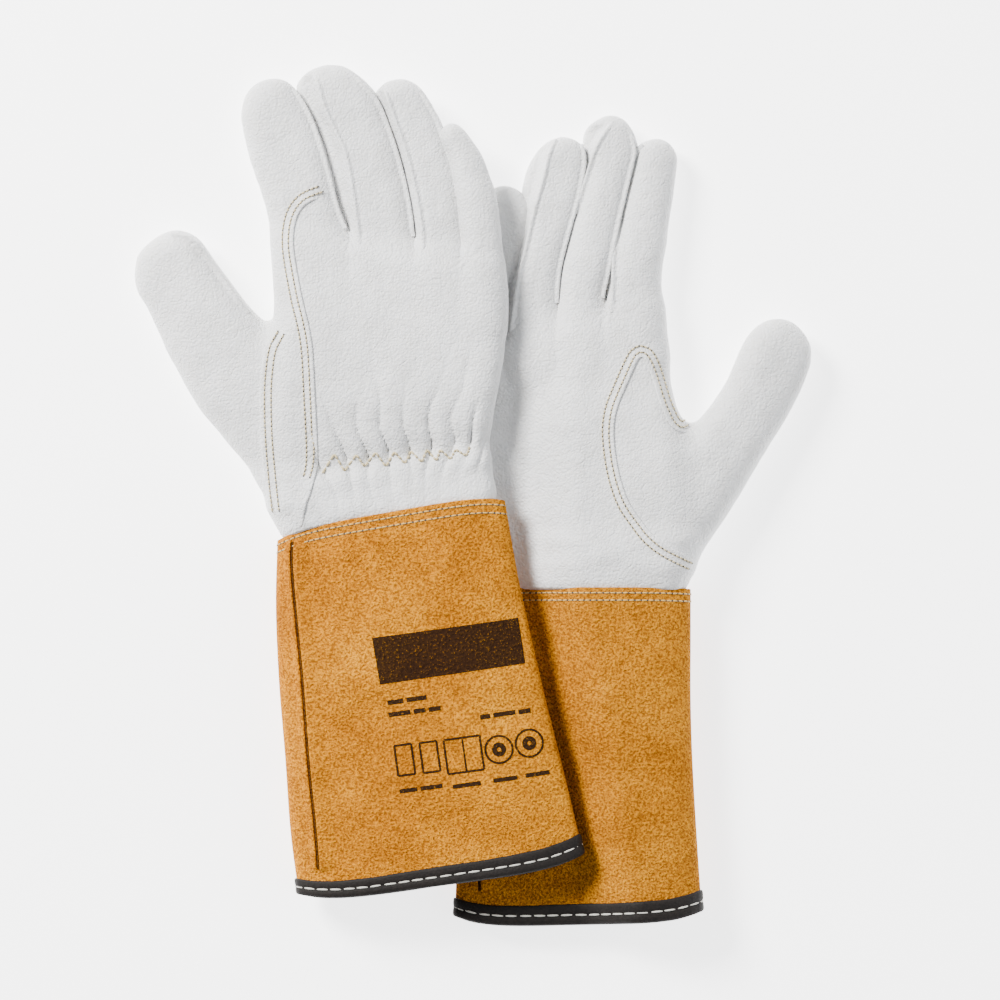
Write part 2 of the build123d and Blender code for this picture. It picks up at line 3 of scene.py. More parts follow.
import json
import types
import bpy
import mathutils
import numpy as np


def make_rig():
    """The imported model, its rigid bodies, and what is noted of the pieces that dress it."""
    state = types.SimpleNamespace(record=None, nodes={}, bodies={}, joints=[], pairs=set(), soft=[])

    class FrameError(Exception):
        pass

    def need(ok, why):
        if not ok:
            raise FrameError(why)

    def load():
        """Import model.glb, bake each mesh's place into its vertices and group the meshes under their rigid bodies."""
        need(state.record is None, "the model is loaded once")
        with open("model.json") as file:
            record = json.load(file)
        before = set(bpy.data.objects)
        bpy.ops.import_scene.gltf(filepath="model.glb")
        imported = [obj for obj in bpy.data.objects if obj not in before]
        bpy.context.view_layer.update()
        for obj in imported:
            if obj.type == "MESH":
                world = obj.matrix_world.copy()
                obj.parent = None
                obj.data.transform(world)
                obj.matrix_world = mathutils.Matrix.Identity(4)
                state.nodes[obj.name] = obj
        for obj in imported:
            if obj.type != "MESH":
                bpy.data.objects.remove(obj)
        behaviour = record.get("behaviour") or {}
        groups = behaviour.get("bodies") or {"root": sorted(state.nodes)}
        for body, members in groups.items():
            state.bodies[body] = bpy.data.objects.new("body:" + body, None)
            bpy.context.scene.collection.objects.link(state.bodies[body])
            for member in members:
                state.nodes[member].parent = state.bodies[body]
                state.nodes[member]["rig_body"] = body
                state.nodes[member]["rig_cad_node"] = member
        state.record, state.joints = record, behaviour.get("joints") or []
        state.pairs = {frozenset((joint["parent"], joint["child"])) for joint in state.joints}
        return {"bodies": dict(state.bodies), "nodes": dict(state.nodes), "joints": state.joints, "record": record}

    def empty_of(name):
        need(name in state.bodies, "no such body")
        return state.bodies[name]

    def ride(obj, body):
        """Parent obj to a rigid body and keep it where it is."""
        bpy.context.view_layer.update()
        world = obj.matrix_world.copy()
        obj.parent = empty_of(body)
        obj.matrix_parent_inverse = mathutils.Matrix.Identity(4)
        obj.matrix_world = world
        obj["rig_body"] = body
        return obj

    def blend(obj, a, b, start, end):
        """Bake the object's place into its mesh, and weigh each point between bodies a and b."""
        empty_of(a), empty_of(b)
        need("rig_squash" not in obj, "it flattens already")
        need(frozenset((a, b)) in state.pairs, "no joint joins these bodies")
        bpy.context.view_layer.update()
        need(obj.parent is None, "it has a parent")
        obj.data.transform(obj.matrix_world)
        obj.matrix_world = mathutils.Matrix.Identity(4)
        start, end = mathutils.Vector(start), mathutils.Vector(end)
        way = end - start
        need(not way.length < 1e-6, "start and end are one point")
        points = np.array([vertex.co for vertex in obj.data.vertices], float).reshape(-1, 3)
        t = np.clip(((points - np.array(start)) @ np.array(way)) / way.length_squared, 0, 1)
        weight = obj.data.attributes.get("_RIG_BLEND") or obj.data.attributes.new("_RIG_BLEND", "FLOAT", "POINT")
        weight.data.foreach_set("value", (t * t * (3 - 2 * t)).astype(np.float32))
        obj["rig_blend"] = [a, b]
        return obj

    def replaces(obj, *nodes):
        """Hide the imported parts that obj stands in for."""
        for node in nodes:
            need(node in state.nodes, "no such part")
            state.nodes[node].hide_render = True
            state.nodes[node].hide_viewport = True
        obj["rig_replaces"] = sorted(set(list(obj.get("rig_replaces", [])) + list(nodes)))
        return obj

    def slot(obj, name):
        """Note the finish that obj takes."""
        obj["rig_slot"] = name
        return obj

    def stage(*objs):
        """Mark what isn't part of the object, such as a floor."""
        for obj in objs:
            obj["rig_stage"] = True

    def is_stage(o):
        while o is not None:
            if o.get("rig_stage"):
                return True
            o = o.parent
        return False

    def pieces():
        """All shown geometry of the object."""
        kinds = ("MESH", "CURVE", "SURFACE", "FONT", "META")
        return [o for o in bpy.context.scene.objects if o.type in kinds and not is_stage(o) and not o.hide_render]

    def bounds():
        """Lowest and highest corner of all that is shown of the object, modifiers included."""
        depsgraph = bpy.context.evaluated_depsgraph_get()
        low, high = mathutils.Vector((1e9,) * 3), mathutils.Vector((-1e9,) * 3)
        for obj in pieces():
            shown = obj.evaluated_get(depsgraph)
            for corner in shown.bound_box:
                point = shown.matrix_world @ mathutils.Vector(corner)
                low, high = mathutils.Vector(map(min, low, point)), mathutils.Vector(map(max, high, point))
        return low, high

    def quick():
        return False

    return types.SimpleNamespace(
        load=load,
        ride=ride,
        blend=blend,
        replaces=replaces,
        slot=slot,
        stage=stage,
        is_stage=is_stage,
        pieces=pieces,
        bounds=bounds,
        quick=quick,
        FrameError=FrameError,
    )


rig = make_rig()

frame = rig.load()
cad_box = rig.bounds()

import json
import math

import bpy
import numpy as np
from mathutils import Vector
from mathutils.bvhtree import BVHTree

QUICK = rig.quick()
STEP = 1.0 if QUICK else 0.7             # grid of the hands' surface, mm
SHIFT = np.array([-0.9531, -4.1015, 0.08])   # from the layout's coordinates to the shared frame, mm
K = 0.42                                  # mm in one unit of the traced outlines

# ------------------------------------------------------------------ small tools


def mm(points):
    """Traced outline points to layout millimetres."""
    p = np.asarray(points, float)
    return np.stack([(p[:, 0] - 473) * K, (499.5 - p[:, 1]) * K], 1)


def smooth_curve(points, closed=False, n=8):
    """Catmull-Rom through points."""
    p = np.asarray(points, float)
    if closed:
        q = np.vstack([p[-1], p, p[0], p[1]])
    else:
        q = np.vstack([2 * p[0] - p[1], p, 2 * p[-1] - p[-2]])
    out = []
    for i in range(1, len(q) - 2):
        a, b, c, d = q[i - 1], q[i], q[i + 1], q[i + 2]
        for t in np.arange(n) / n:
            out.append(0.5 * (2 * b + (c - a) * t + (2 * a - 5 * b + 4 * c - d) * t * t + (3 * b - a - 3 * c + d) * t ** 3))
    if not closed:
        out.append(q[-2])
    return np.array(out)


def resample(points, spacing):
    """Even spacing along a polyline; returns the points and the arc length."""
    p = np.asarray(points, float)
    seg = np.linalg.norm(np.diff(p, axis=0), axis=1)
    s = np.concatenate([[0], np.cumsum(seg)])
    n = max(2, int(round(s[-1] / spacing)) + 1)
    t = np.linspace(0, s[-1], n)
    return np.stack([np.interp(t, s, p[:, k]) for k in range(p.shape[1])], 1), t


def ss(t):
    t = np.clip(t, 0, 1)
    return t * t * (3 - 2 * t)


def cubic(x, xs, ys):
    """Smooth interpolation of ys, given at xs, with flat ends beyond them."""
    xs, ys = np.asarray(xs, float), np.asarray(ys, float)
    m = np.gradient(ys, xs, axis=0)
    x = np.clip(x, xs[0], xs[-1])
    i = np.clip(np.searchsorted(xs, x) - 1, 0, len(xs) - 2)
    h = xs[i + 1] - xs[i]
    t = (x - xs[i]) / h
    if ys.ndim > 1:
        h, t = h[..., None], t[..., None]
    return ((1 + 2 * t) * (1 - t) ** 2 * ys[i] + t * (1 - t) ** 2 * h * m[i]
            + t * t * (3 - 2 * t) * ys[i + 1] + t * t * (t - 1) * h * m[i + 1])


def lattice(ix, iy, seed):
    n = (ix.astype(np.int64) * 374761393 + iy.astype(np.int64) * 668265263 + seed * 1442695041) & 0xFFFFFFFF
    n = ((n ^ (n >> 13)) * 1274126177) & 0xFFFFFFFF
    return ((n ^ (n >> 16)) & 0xFFFF) / 32767.5 - 1.0


def wave(x, y, scale, seed=0):
    """Smooth noise from -1 to 1 with features about scale mm across."""
    x, y = x / scale, y / scale
    ix, iy = np.floor(x), np.floor(y)
    fx, fy = ss(x - ix), ss(y - iy)
    a, b = lattice(ix, iy, seed), lattice(ix + 1, iy, seed)
    c, d = lattice(ix, iy + 1, seed), lattice(ix + 1, iy + 1, seed)
    return (a + (b - a) * fx) * (1 - fy) + (c + (d - c) * fx) * fy


def inside_distance(X, Y, poly):
    """Distance to a closed outline, positive inside."""
    best = np.full(X.shape, 1e9)
    inside = np.zeros(X.shape, bool)
    for (x0, y0), (x1, y1) in zip(poly, np.roll(poly, -1, 0)):
        dx, dy = x1 - x0, y1 - y0
        t = np.clip(((X - x0) * dx + (Y - y0) * dy) / (dx * dx + dy * dy + 1e-12), 0, 1)
        best = np.minimum(best, (X - x0 - t * dx) ** 2 + (Y - y0 - t * dy) ** 2)
        if y0 != y1:
            inside ^= ((y0 > Y) != (y1 > Y)) & (X < (x1 - x0) * (Y - y0) / (y1 - y0) + x0)
    best = np.sqrt(best)
    return np.where(inside, best, -best)


def soften(a, sigma, step):
    """Gaussian blur of a 2D array, sigma in mm."""
    r = int(math.ceil(2.5 * sigma / step))
    w = np.exp(-0.5 * (np.arange(-r, r + 1) * step / sigma) ** 2)
    w /= w.sum()
    for axis in (0, 1):
        pad = [(r, r) if k == axis else (0, 0) for k in (0, 1)]
        b = np.pad(a, pad, mode="edge")
        n = a.shape[axis]
        a = sum(w[k] * (b[k:k + n] if axis == 0 else b[:, k:k + n]) for k in range(2 * r + 1))
    return a


def smin(a, b, k):
    h = np.maximum(k - np.abs(a - b), 0) / k
    return np.minimum(a, b) - h * h * k * 0.25


CORNERS = np.array([(i, j, k) for i in (0, 1) for j in (0, 1) for k in (0, 1)])
EDGES = [(a, b) for a in range(8) for b in range(a + 1, 8) if np.abs(CORNERS[a] - CORNERS[b]).sum() == 1]


def sample(F, g):
    """Trilinear value of F at grid positions g."""
    n = np.array(F.shape)
    g = np.clip(g, 0, n - 1.001)
    i = g.astype(int)
    f = g - i
    out = 0
    for c in CORNERS:
        w = np.prod(np.where(c, f, 1 - f), 1)
        out = out + w * F[i[:, 0] + c[0], i[:, 1] + c[1], i[:, 2] + c[2]]
    return out


def surface(F, origin, step):
    """Mesh of F = 0, quads turned outwards: vertices, normals, faces and the middle of each face's crossed edge."""
    inside = F < 0
    n = F.shape
    count = np.zeros(tuple(k - 1 for k in n), np.int8)
    for c in CORNERS:
        count += inside[c[0]:n[0] - 1 + c[0], c[1]:n[1] - 1 + c[1], c[2]:n[2] - 1 + c[2]]
    cells = np.argwhere((count > 0) & (count < 8))
    ids = np.full(count.shape, -1, np.int32)
    ids[cells[:, 0], cells[:, 1], cells[:, 2]] = np.arange(len(cells))
    vals = np.stack([F[cells[:, 0] + c[0], cells[:, 1] + c[1], cells[:, 2] + c[2]] for c in CORNERS], 1)
    total, hits = np.zeros((len(cells), 3)), np.zeros(len(cells))
    for a, b in EDGES:
        va, vb = vals[:, a], vals[:, b]
        cross = (va < 0) != (vb < 0)
        t = np.where(cross, va / np.where(cross, va - vb, 1), 0)
        total += np.where(cross[:, None], CORNERS[a] + t[:, None] * (CORNERS[b] - CORNERS[a]), 0)
        hits += cross
    g = cells + total / hits[:, None]
    for _ in range(2):
        value = sample(F, g)
        grad = np.stack([sample(F, g + d) - sample(F, g - d) for d in np.eye(3) * 0.5], 1)
        move = -value[:, None] * grad / np.maximum((grad ** 2).sum(1), 1e-3)[:, None]
        g = g + np.clip(move, -0.6, 0.6)
    grad = np.stack([sample(F, g + d) - sample(F, g - d) for d in np.eye(3) * 0.9], 1)
    normals = grad / np.maximum(np.linalg.norm(grad, axis=1), 1e-9)[:, None]
    faces, mids = [], []
    for axis in range(3):
        o, p = [k for k in range(3) if k != axis]
        lo = [slice(1, n[k] - 1) for k in range(3)]
        hi = list(lo)
        lo[axis], hi[axis] = slice(0, n[axis] - 1), slice(1, n[axis])
        a, b = inside[tuple(lo)], inside[tuple(hi)]
        e = np.argwhere(a != b)
        start = np.array([0 if k == axis else 1 for k in range(3)])
        e = e + start
        first = inside[e[:, 0], e[:, 1], e[:, 2]]
        quad = []
        for du, dv in ((0, 0), (1, 0), (1, 1), (0, 1)):
            c = e.copy()
            c[:, o] -= 1 - du
            c[:, p] -= 1 - dv
            quad.append(ids[c[:, 0], c[:, 1], c[:, 2]])
        quad = np.stack(quad, 1)
        flip = first if axis != 1 else ~first
        quad[~flip] = quad[~flip][:, ::-1]
        faces.append(quad)
        mid = e.astype(float)
        mid[:, axis] += 0.5
        mids.append(mid)
    return origin + g * step, normals, np.vstack(faces), origin + np.vstack(mids) * step


def make(name, verts, faces, material, normals=None, smooth=True):
    """A mesh object from layout millimetres."""
    verts = (np.asarray(verts, float) + SHIFT) / 1000
    faces = np.asarray(faces, np.int32)
    k = faces.shape[1]
    mesh = bpy.data.meshes.new(name)
    mesh.vertices.add(len(verts))
    mesh.vertices.foreach_set("co", verts.ravel())
    mesh.loops.add(faces.size)
    mesh.loops.foreach_set("vertex_index", faces.ravel())
    mesh.polygons.add(len(faces))
    mesh.polygons.foreach_set("loop_start", np.arange(len(faces), dtype=np.int32) * k)
    mesh.update(calc_edges=True)
    mesh.validate()
    mesh.polygons.foreach_set("use_smooth", np.full(len(mesh.polygons), smooth))
    if normals is not None and len(normals) == len(mesh.vertices):
        mesh.normals_split_custom_set_from_vertices([tuple(v) for v in normals])
    mesh.materials.append(material)
    obj = bpy.data.objects.new(name, mesh)
    bpy.context.scene.collection.objects.link(obj)
    return obj


def only(verts, faces, keep, normals=None):
    """The kept faces with their own vertices."""
    faces = faces[keep]
    used, inverse = np.unique(faces, return_inverse=True)
    return verts[used], inverse.reshape(faces.shape), None if normals is None else normals[used]


def vertex_normals(verts, faces):
    a, b, c, d = (verts[faces[:, k]] for k in range(4))
    n = np.cross(c - a, d - b)
    out = np.zeros_like(verts)
    for k in range(4):
        np.add.at(out, faces[:, k], n)
    return out / np.maximum(np.linalg.norm(out, axis=1), 1e-12)[:, None]


# ------------------------------------------------------------------ materials


def nodes_of(name):
    m = bpy.data.materials.new(name)
    m.use_nodes = True
    t = m.node_tree
    t.nodes.clear()
    out = t.nodes.new("ShaderNodeOutputMaterial")
    bsdf = t.nodes.new("ShaderNodeBsdfPrincipled")
    t.links.new(bsdf.outputs[0], out.inputs[0])
    coord = t.nodes.new("ShaderNodeTexCoord")
    return m, t, bsdf, coord


def texture(t, coord, kind, scale, **more):
    n = t.nodes.new("ShaderNodeTexVoronoi" if kind == "voronoi" else "ShaderNodeTexNoise")
    n.inputs["Scale"].default_value = scale
    for k, v in more.items():
        if k in ("feature", "distance"):
            setattr(n, k, v)
        else:
            n.inputs[k].default_value = v
    t.links.new(coord, n.inputs["Vector"])
    return n


def ramp(t, source, stops):
    n = t.nodes.new("ShaderNodeValToRGB")
    e = n.color_ramp.elements
    while len(e) > len(stops):
        e.remove(e[-1])
    while len(e) < len(stops):
        e.new(0.5)
    for el, (pos, col) in zip(e, stops):
        el.position = pos
        el.color = (*col, 1)
    t.links.new(source, n.inputs[0])
    return n.outputs[0]


def maths(t, op, a, b):
    n = t.nodes.new("ShaderNodeMath")
    n.operation = op
    for i, v in enumerate((a, b)):
        if isinstance(v, (int, float)):
            n.inputs[i].default_value = v
        else:
            t.links.new(v, n.inputs[i])
    return n.outputs[0]


def mix_colour(t, factor, a, b, mode="MIX"):
    n = t.nodes.new("ShaderNodeMix")
    n.data_type = "RGBA"
    n.blend_type = mode
    for sock, v in ((n.inputs["Factor"], factor), (n.inputs[6], a), (n.inputs[7], b)):
        if isinstance(v, (int, float)):
            sock.default_value = v
        elif isinstance(v, tuple):
            sock.default_value = (*v, 1)
        else:
            t.links.new(v, sock)
    return n.outputs[2]


def bump(t, bsdf, height, distance, strength=1.0, under=None):
    n = t.nodes.new("ShaderNodeBump")
    n.inputs["Distance"].default_value = distance
    n.inputs["Strength"].default_value = strength
    t.links.new(height, n.inputs["Height"])
    if under is not None:
        t.links.new(under, n.inputs["Normal"])
    t.links.new(n.outputs[0], bsdf.inputs["Normal"])
    return n.outputs[0]


def grain_leather(name, tint=(0.77, 0.77, 0.765)):
    m, t, bsdf, coord = nodes_of(name)
    obj = coord.outputs["Object"]
    broad = texture(t, obj, "noise", 28.0, Detail=4.0, Roughness=0.6)
    cloud = texture(t, obj, "noise", 140.0, Detail=3.0, Roughness=0.55)
    warp = texture(t, obj, "noise", 420.0, Detail=2.0)
    pebble = texture(t, mix_colour(t, 0.0007, obj, warp.outputs["Color"], "LINEAR_LIGHT"), "voronoi", 880.0, feature="SMOOTH_F1", Smoothness=0.55, Randomness=0.9)
    fine = texture(t, obj, "noise", 2100.0, Detail=3.0, Roughness=0.6)
    crease = texture(t, obj, "voronoi", 240.0, feature="DISTANCE_TO_EDGE", Randomness=1.0)
    a, b = tuple(c * 0.93 for c in tint), tuple(min(1, c * 1.05) for c in tint)
    base = ramp(t, broad.outputs[0], [(0.3, a), (0.7, b)])
    dirt = ramp(t, cloud.outputs[0], [(0.35, (0.95, 0.945, 0.935)), (0.6, (1, 1, 1))])
    pits = ramp(t, pebble.outputs["Distance"], [(0.0, (1, 1, 1)), (0.85, (0.90, 0.90, 0.905))])
    col = mix_colour(t, 1.0, mix_colour(t, 1.0, base, dirt, "MULTIPLY"), pits, "MULTIPLY")
    t.links.new(col, bsdf.inputs["Base Color"])
    rough = ramp(t, cloud.outputs[0], [(0.3, (0.47, 0.47, 0.47)), (0.7, (0.6, 0.6, 0.6))])
    t.links.new(rough, bsdf.inputs["Roughness"])
    bsdf.inputs["Specular IOR Level"].default_value = 0.42
    bsdf.inputs["Subsurface Weight"].default_value = 0.06
    bsdf.inputs["Subsurface Radius"].default_value = (1.0, 0.8, 0.6)
    bsdf.inputs["Subsurface Scale"].default_value = 0.0012
    bsdf.inputs["Sheen Weight"].default_value = 0.05
    lines = ramp(t, crease.outputs["Distance"], [(0.0, (0, 0, 0)), (0.09, (1, 1, 1))])
    h1 = bump(t, bsdf, pebble.outputs["Distance"], 0.00055, 0.62)
    n2 = bump(t, bsdf, lines, 0.00018, 0.5, h1)
    bump(t, bsdf, fine.outputs[0], 0.00012, 0.35, n2)
    return m


def suede(name, light, mid, dark, inked=0.0, ink=(0.05, 0.035, 0.025)):
    m, t, bsdf, coord = nodes_of(name)
    obj = coord.outputs["Object"]
    broad = texture(t, obj, "noise", 16.0, Detail=5.0, Roughness=0.62, Distortion=0.4)
    patch = texture(t, obj, "noise", 75.0, Detail=4.0, Roughness=0.65, Distortion=0.6)
    nap = texture(t, obj, "noise", 980.0, Detail=2.0, Roughness=0.6)
    fibre = texture(t, obj, "noise", 2300.0, Detail=3.0, Roughness=0.7)
    base = ramp(t, broad.outputs[0], [(0.28, dark), (0.5, mid), (0.74, light)])
    brush = ramp(t, patch.outputs[0], [(0.3, (0.82, 0.78, 0.72)), (0.7, (1.12, 1.14, 1.16))])
    tips = ramp(t, nap.outputs[0], [(0.38, (0.60, 0.52, 0.36)), (0.5, (1.0, 0.98, 0.84)), (0.62, (1.34, 1.40, 1.05))])
    dots = ramp(t, fibre.outputs[0], [(0.32, (0.76, 0.72, 0.62)), (0.68, (1.20, 1.22, 1.15))])
    col = mix_colour(t, 1.0, mix_colour(t, 1.0, mix_colour(t, 1.0, base, brush, "MULTIPLY"), tips, "MULTIPLY"), dots, "MULTIPLY")
    if inked:
        worn = ramp(t, maths(t, "ADD", maths(t, "MULTIPLY", fibre.outputs[0], 0.55), maths(t, "MULTIPLY", nap.outputs[0], 0.45)),
                    [(0.57, (inked, inked, inked)), (0.66, (0.62 * inked, 0.62 * inked, 0.62 * inked))])
        col = mix_colour(t, worn, col, ink)
    t.links.new(col, bsdf.inputs["Base Color"])
    bsdf.inputs["Roughness"].default_value = 0.93
    bsdf.inputs["Specular IOR Level"].default_value = 0.06
    bsdf.inputs["Sheen Weight"].default_value = 0.02
    bsdf.inputs["Sheen Roughness"].default_value = 0.45
    bsdf.inputs["Sheen Tint"].default_value = (1.0, 0.78, 0.5, 1)
    h1 = bump(t, bsdf, nap.outputs[0], 0.0014, 1.0)
    bump(t, bsdf, fibre.outputs[0], 0.0005, 0.55, h1)
    return m


def cloth(name, colour, low, scale, depth=0.0002, rough=0.8, sheen=0.2):
    m, t, bsdf, coord = nodes_of(name)
    obj = coord.outputs["Object"]
    big = texture(t, obj, "noise", scale * 0.2, Detail=3.0)
    small = texture(t, obj, "noise", scale, Detail=3.0, Roughness=0.65)
    col = mix_colour(t, 1.0, ramp(t, small.outputs[0], [(0.3, low), (0.65, colour)]), ramp(t, big.outputs[0], [(0.3, (0.85, 0.85, 0.85)), (0.7, (1.05, 1.05, 1.05))]), "MULTIPLY")
    t.links.new(col, bsdf.inputs["Base Color"])
    bsdf.inputs["Roughness"].default_value = rough
    bsdf.inputs["Sheen Weight"].default_value = sheen
    bump(t, bsdf, small.outputs[0], depth, 0.6)
    return m


M_GRAIN = grain_leather("white_grain_leather")
GOLD = ((0.61, 0.250, 0.010), (0.51, 0.190, 0.005), (0.405, 0.138, 0.003))
M_SUEDE = suede("golden_split_leather", *GOLD)
# the same golden split leather with painted shade: every colour about 15 percent darker, used for the lower cuff
M_SUEDE_PAINTED_SHADE = suede("golden_split_leather_painted_shade", (0.52, 0.208, 0.010), (0.435, 0.160, 0.005), (0.345, 0.117, 0.003))
M_INK = suede("printed_split_leather", *GOLD, inked=0.97, ink=(0.014, 0.0065, 0.004))
M_INK2 = suede("faint_print_split_leather", *GOLD, inked=0.97, ink=(0.014, 0.008, 0.005))
# a dark strip for the bottom of the cuff seam's groove: the groove's shade painted on
M_GAP = suede("seam_shadow_leather", (0.13, 0.052, 0.010), (0.095, 0.037, 0.007), (0.06, 0.024, 0.005))
M_BIND = cloth("binding_leather", (0.011, 0.008, 0.0065), (0.0045, 0.0035, 0.003), 900.0, 0.0004, 0.7, 0.0)
M_BIND.node_tree.nodes["Principled BSDF"].inputs["Specular IOR Level"].default_value = 0.22
M_CREAM = cloth("cream_thread", (0.68, 0.57, 0.33), (0.47, 0.37, 0.19), 5200.0, 0.00015, 0.75)
M_TAN = cloth("tan_thread", (0.64, 0.42, 0.12), (0.45, 0.26, 0.06), 5200.0, 0.00015, 0.75)
M_WHITE = cloth("white_thread", (0.66, 0.64, 0.58), (0.45, 0.43, 0.37), 5200.0, 0.00015, 0.75)
# needle holes: a near-black colour on small discs lying over the surface, painted shade standing in for the holes'
# depth
M_HOLE_PAINTED_SHADE = cloth("needle_hole_painted_shade", (0.07, 0.06, 0.045), (0.03, 0.026, 0.02), 3000.0, 0.0001, 0.9, 0.0)
M_ELASTIC = cloth("elastic_web", (0.72, 0.71, 0.67), (0.55, 0.54, 0.50), 1500.0, 0.0003)

# ------------------------------------------------------------------ the gloves' outlines and heights

UPPER = {
    "name": "upper", "face": 1,
    "palm": [(286, 590), (284, 560), (281, 535), (275, 505), (270, 470), (268, 430), (267, 390), (268, 350), (273, 325), (277, 300), (276, 262), (279, 232),
             (300, 226), (350, 235), (421, 246), (467, 260), (492, 266), (502, 285), (504, 300), (504, 340), (500, 380), (495, 410), (490, 440), (492, 465), (497, 500), (500, 540), (502, 590)],
    "index": [(278, 320), (276, 280), (270, 240), (262, 200), (250, 165), (241, 130), (239, 110), (244, 92), (256, 80), (270, 76), (283, 77), (294, 85),
              (308, 104), (320, 130), (331, 167), (340, 203), (351, 232), (354, 265), (350, 300), (332, 328), (295, 332)],
    "middle": [(346, 265), (346, 236), (336, 207), (327, 170), (316, 134), (305, 109), (296, 88), (300, 75), (310, 66), (325, 61), (341, 62), (354, 69), (369, 82),
               (383, 102), (397, 140), (407, 175), (414, 210), (418, 243), (419, 272), (412, 315), (385, 328), (355, 315)],
    "ring": [(416, 272), (415, 243), (410, 210), (403, 175), (393, 140), (379, 105), (375, 93), (384, 81), (400, 77), (412, 80), (423, 89),
             (437, 111), (449, 140), (457, 165), (464, 200), (469, 256), (470, 285), (466, 320), (445, 332), (422, 318)],
    "little": [(465, 300), (464, 260), (460, 228), (455, 192), (449, 160), (440, 139), (441, 129), (449, 123), (461, 127), (475, 144), (487, 165), (495, 190), (500, 220),
               (503, 262), (503, 300), (498, 330), (480, 338), (468, 325)],
    "thumb": [(133, 262), (133, 285), (145, 310), (165, 350), (195, 405), (220, 435), (245, 465), (262, 495), (275, 522), (300, 512), (306, 450), (302, 385), (291, 348),
              (272, 331), (258, 316), (245, 302), (222, 270), (200, 240), (180, 229), (163, 230), (148, 239), (137, 250)],
    "crotches": ((350, 236), (467, 261)),
    "seams": {"middle": [(313, 68), (318, 84), (325, 108), (336, 132), (346, 155), (352, 185), (356, 210), (359, 236), (360, 246)],
              "ring": [(383, 84), (390, 104), (396, 122), (404, 143), (411, 168), (418, 200), (423, 232), (424, 250)]},
    "thumb_cut": ((-90.5, -20.0), (-90.5, 60.0)),
    "wrist": ((-86.9, 9.0), (7.6, 23.3)), "mouth": ((277, 541), (505, 501), 3.4),
}
LOWER = {
    "name": "lower", "face": -1,
    "palm": [(476, 650), (474, 600), (470, 560), (465, 524), (460, 470), (457, 430), (453, 380), (451, 350), (458, 339), (508, 328), (558, 316), (608, 306), (645, 297),
             (660, 305), (664, 330), (670, 370), (676, 400), (684, 430), (688, 480), (689, 530), (688, 570), (686, 610), (686, 650)],
    "index": [(601, 340), (602, 302), (609, 265), (617, 230), (626, 190), (635, 154), (640, 142), (649, 137), (660, 135), (671, 140), (679, 153), (678, 172), (672, 210), (665, 260),
              (662, 290), (664, 330), (666, 360), (655, 385), (615, 385)],
    "middle": [(557, 345), (557, 305), (560, 270), (570, 230), (580, 195), (586, 165), (585, 140), (589, 124), (600, 115), (612, 112), (624, 116), (634, 127), (639, 142), (639, 157),
               (631, 187), (621, 230), (614, 265), (606, 300), (608, 340), (600, 375), (570, 380)],
    "ring": [(506, 365), (504, 330), (507, 300), (516, 265), (523, 232), (523, 208), (524, 186), (532, 161), (544, 143), (553, 136), (563, 133), (575, 136), (586, 145), (590, 165),
             (584, 195), (574, 230), (564, 270), (561, 300), (561, 345), (550, 382), (522, 385)],
    "little": [(450, 335), (455, 295), (462, 260), (470, 230), (477, 205), (486, 190), (500, 182), (514, 184), (525, 192), (532, 207), (530, 230), (523, 265), (513, 300), (511, 330),
               (510, 368), (492, 384), (465, 375)],
    "thumb": [(697, 421), (715, 400), (730, 375), (743, 345), (755, 328), (766, 320), (778, 317), (790, 319), (800, 325), (808, 335), (813, 347), (812, 365), (800, 395), (780, 430),
              (755, 470), (725, 520), (703, 550), (688, 572), (660, 560), (650, 500), (655, 450), (675, 434)],
    "crotches": ((608, 307), (508, 329)),
    "seams": {"index": [(644, 143), (634, 154), (628, 168), (622, 200), (617, 235), (614, 265), (613, 300), (612, 312)],
              "middle": [(616, 119), (605, 132), (597, 146), (591, 163), (586, 180), (581, 196), (576, 212)],
              "ring": [(558, 138), (550, 152), (543, 180), (536, 205), (530, 230), (524, 256), (518, 282), (513, 318), (512, 330)]},
    "thumb_cut": ((93.5, -30.0), (88.9, 42.0)),
    "wrist": ((-3.4, -10.3), (90.3, -10.3)), "mouth": ((470, 590), (691, 590), 0.6),
}


def upper_heights(part, x, y):
    s = np.clip((x + 86.5) / 98.0, 0, 1)
    if part == "palm":
        low = 14.0 * ss((x + 27) / 23)
        left = cubic(y, [-45, -20, -6, 12, 42, 71, 100, 115], [21.5, 23.2, 26.0, 23.6, 26.4, 25.2, 21.0, 19.5])
        right = cubic(y, [-45, -20, -6, 12, 42, 71, 100, 115], [28.0, 28.6, 30.6, 28.0, 30.2, 29.6, 28.2, 27.6])
        return low, left + (right - left) * s ** 1.5 + 1.3 * 4 * s * (1 - s)
    t = ss((y - 100) / 85)
    if part == "index":
        return 0.0 + 1.6 * t + 0 * x, 20.6 - 3.2 * t
    if part == "middle":
        return 0.3 + 2.4 * t + 0 * x, 22.0 - 3.2 * t
    if part == "ring":
        return 4.6 + 2.5 * ss((x + 30) / 25) + 0.6 * t, 24.2 - 3.0 * t
    if part == "little":
        return 13.6 - 0.6 * t + 0 * x, 28.2 - 3.6 * t
    d = ss((-88 - x) / 42)
    return 0.0 + 0 * x + 2.0 * ss((-118 - x) / 25), 23.0 - 2.2 * d - 2.5 * ss((-115 - x) / 28)


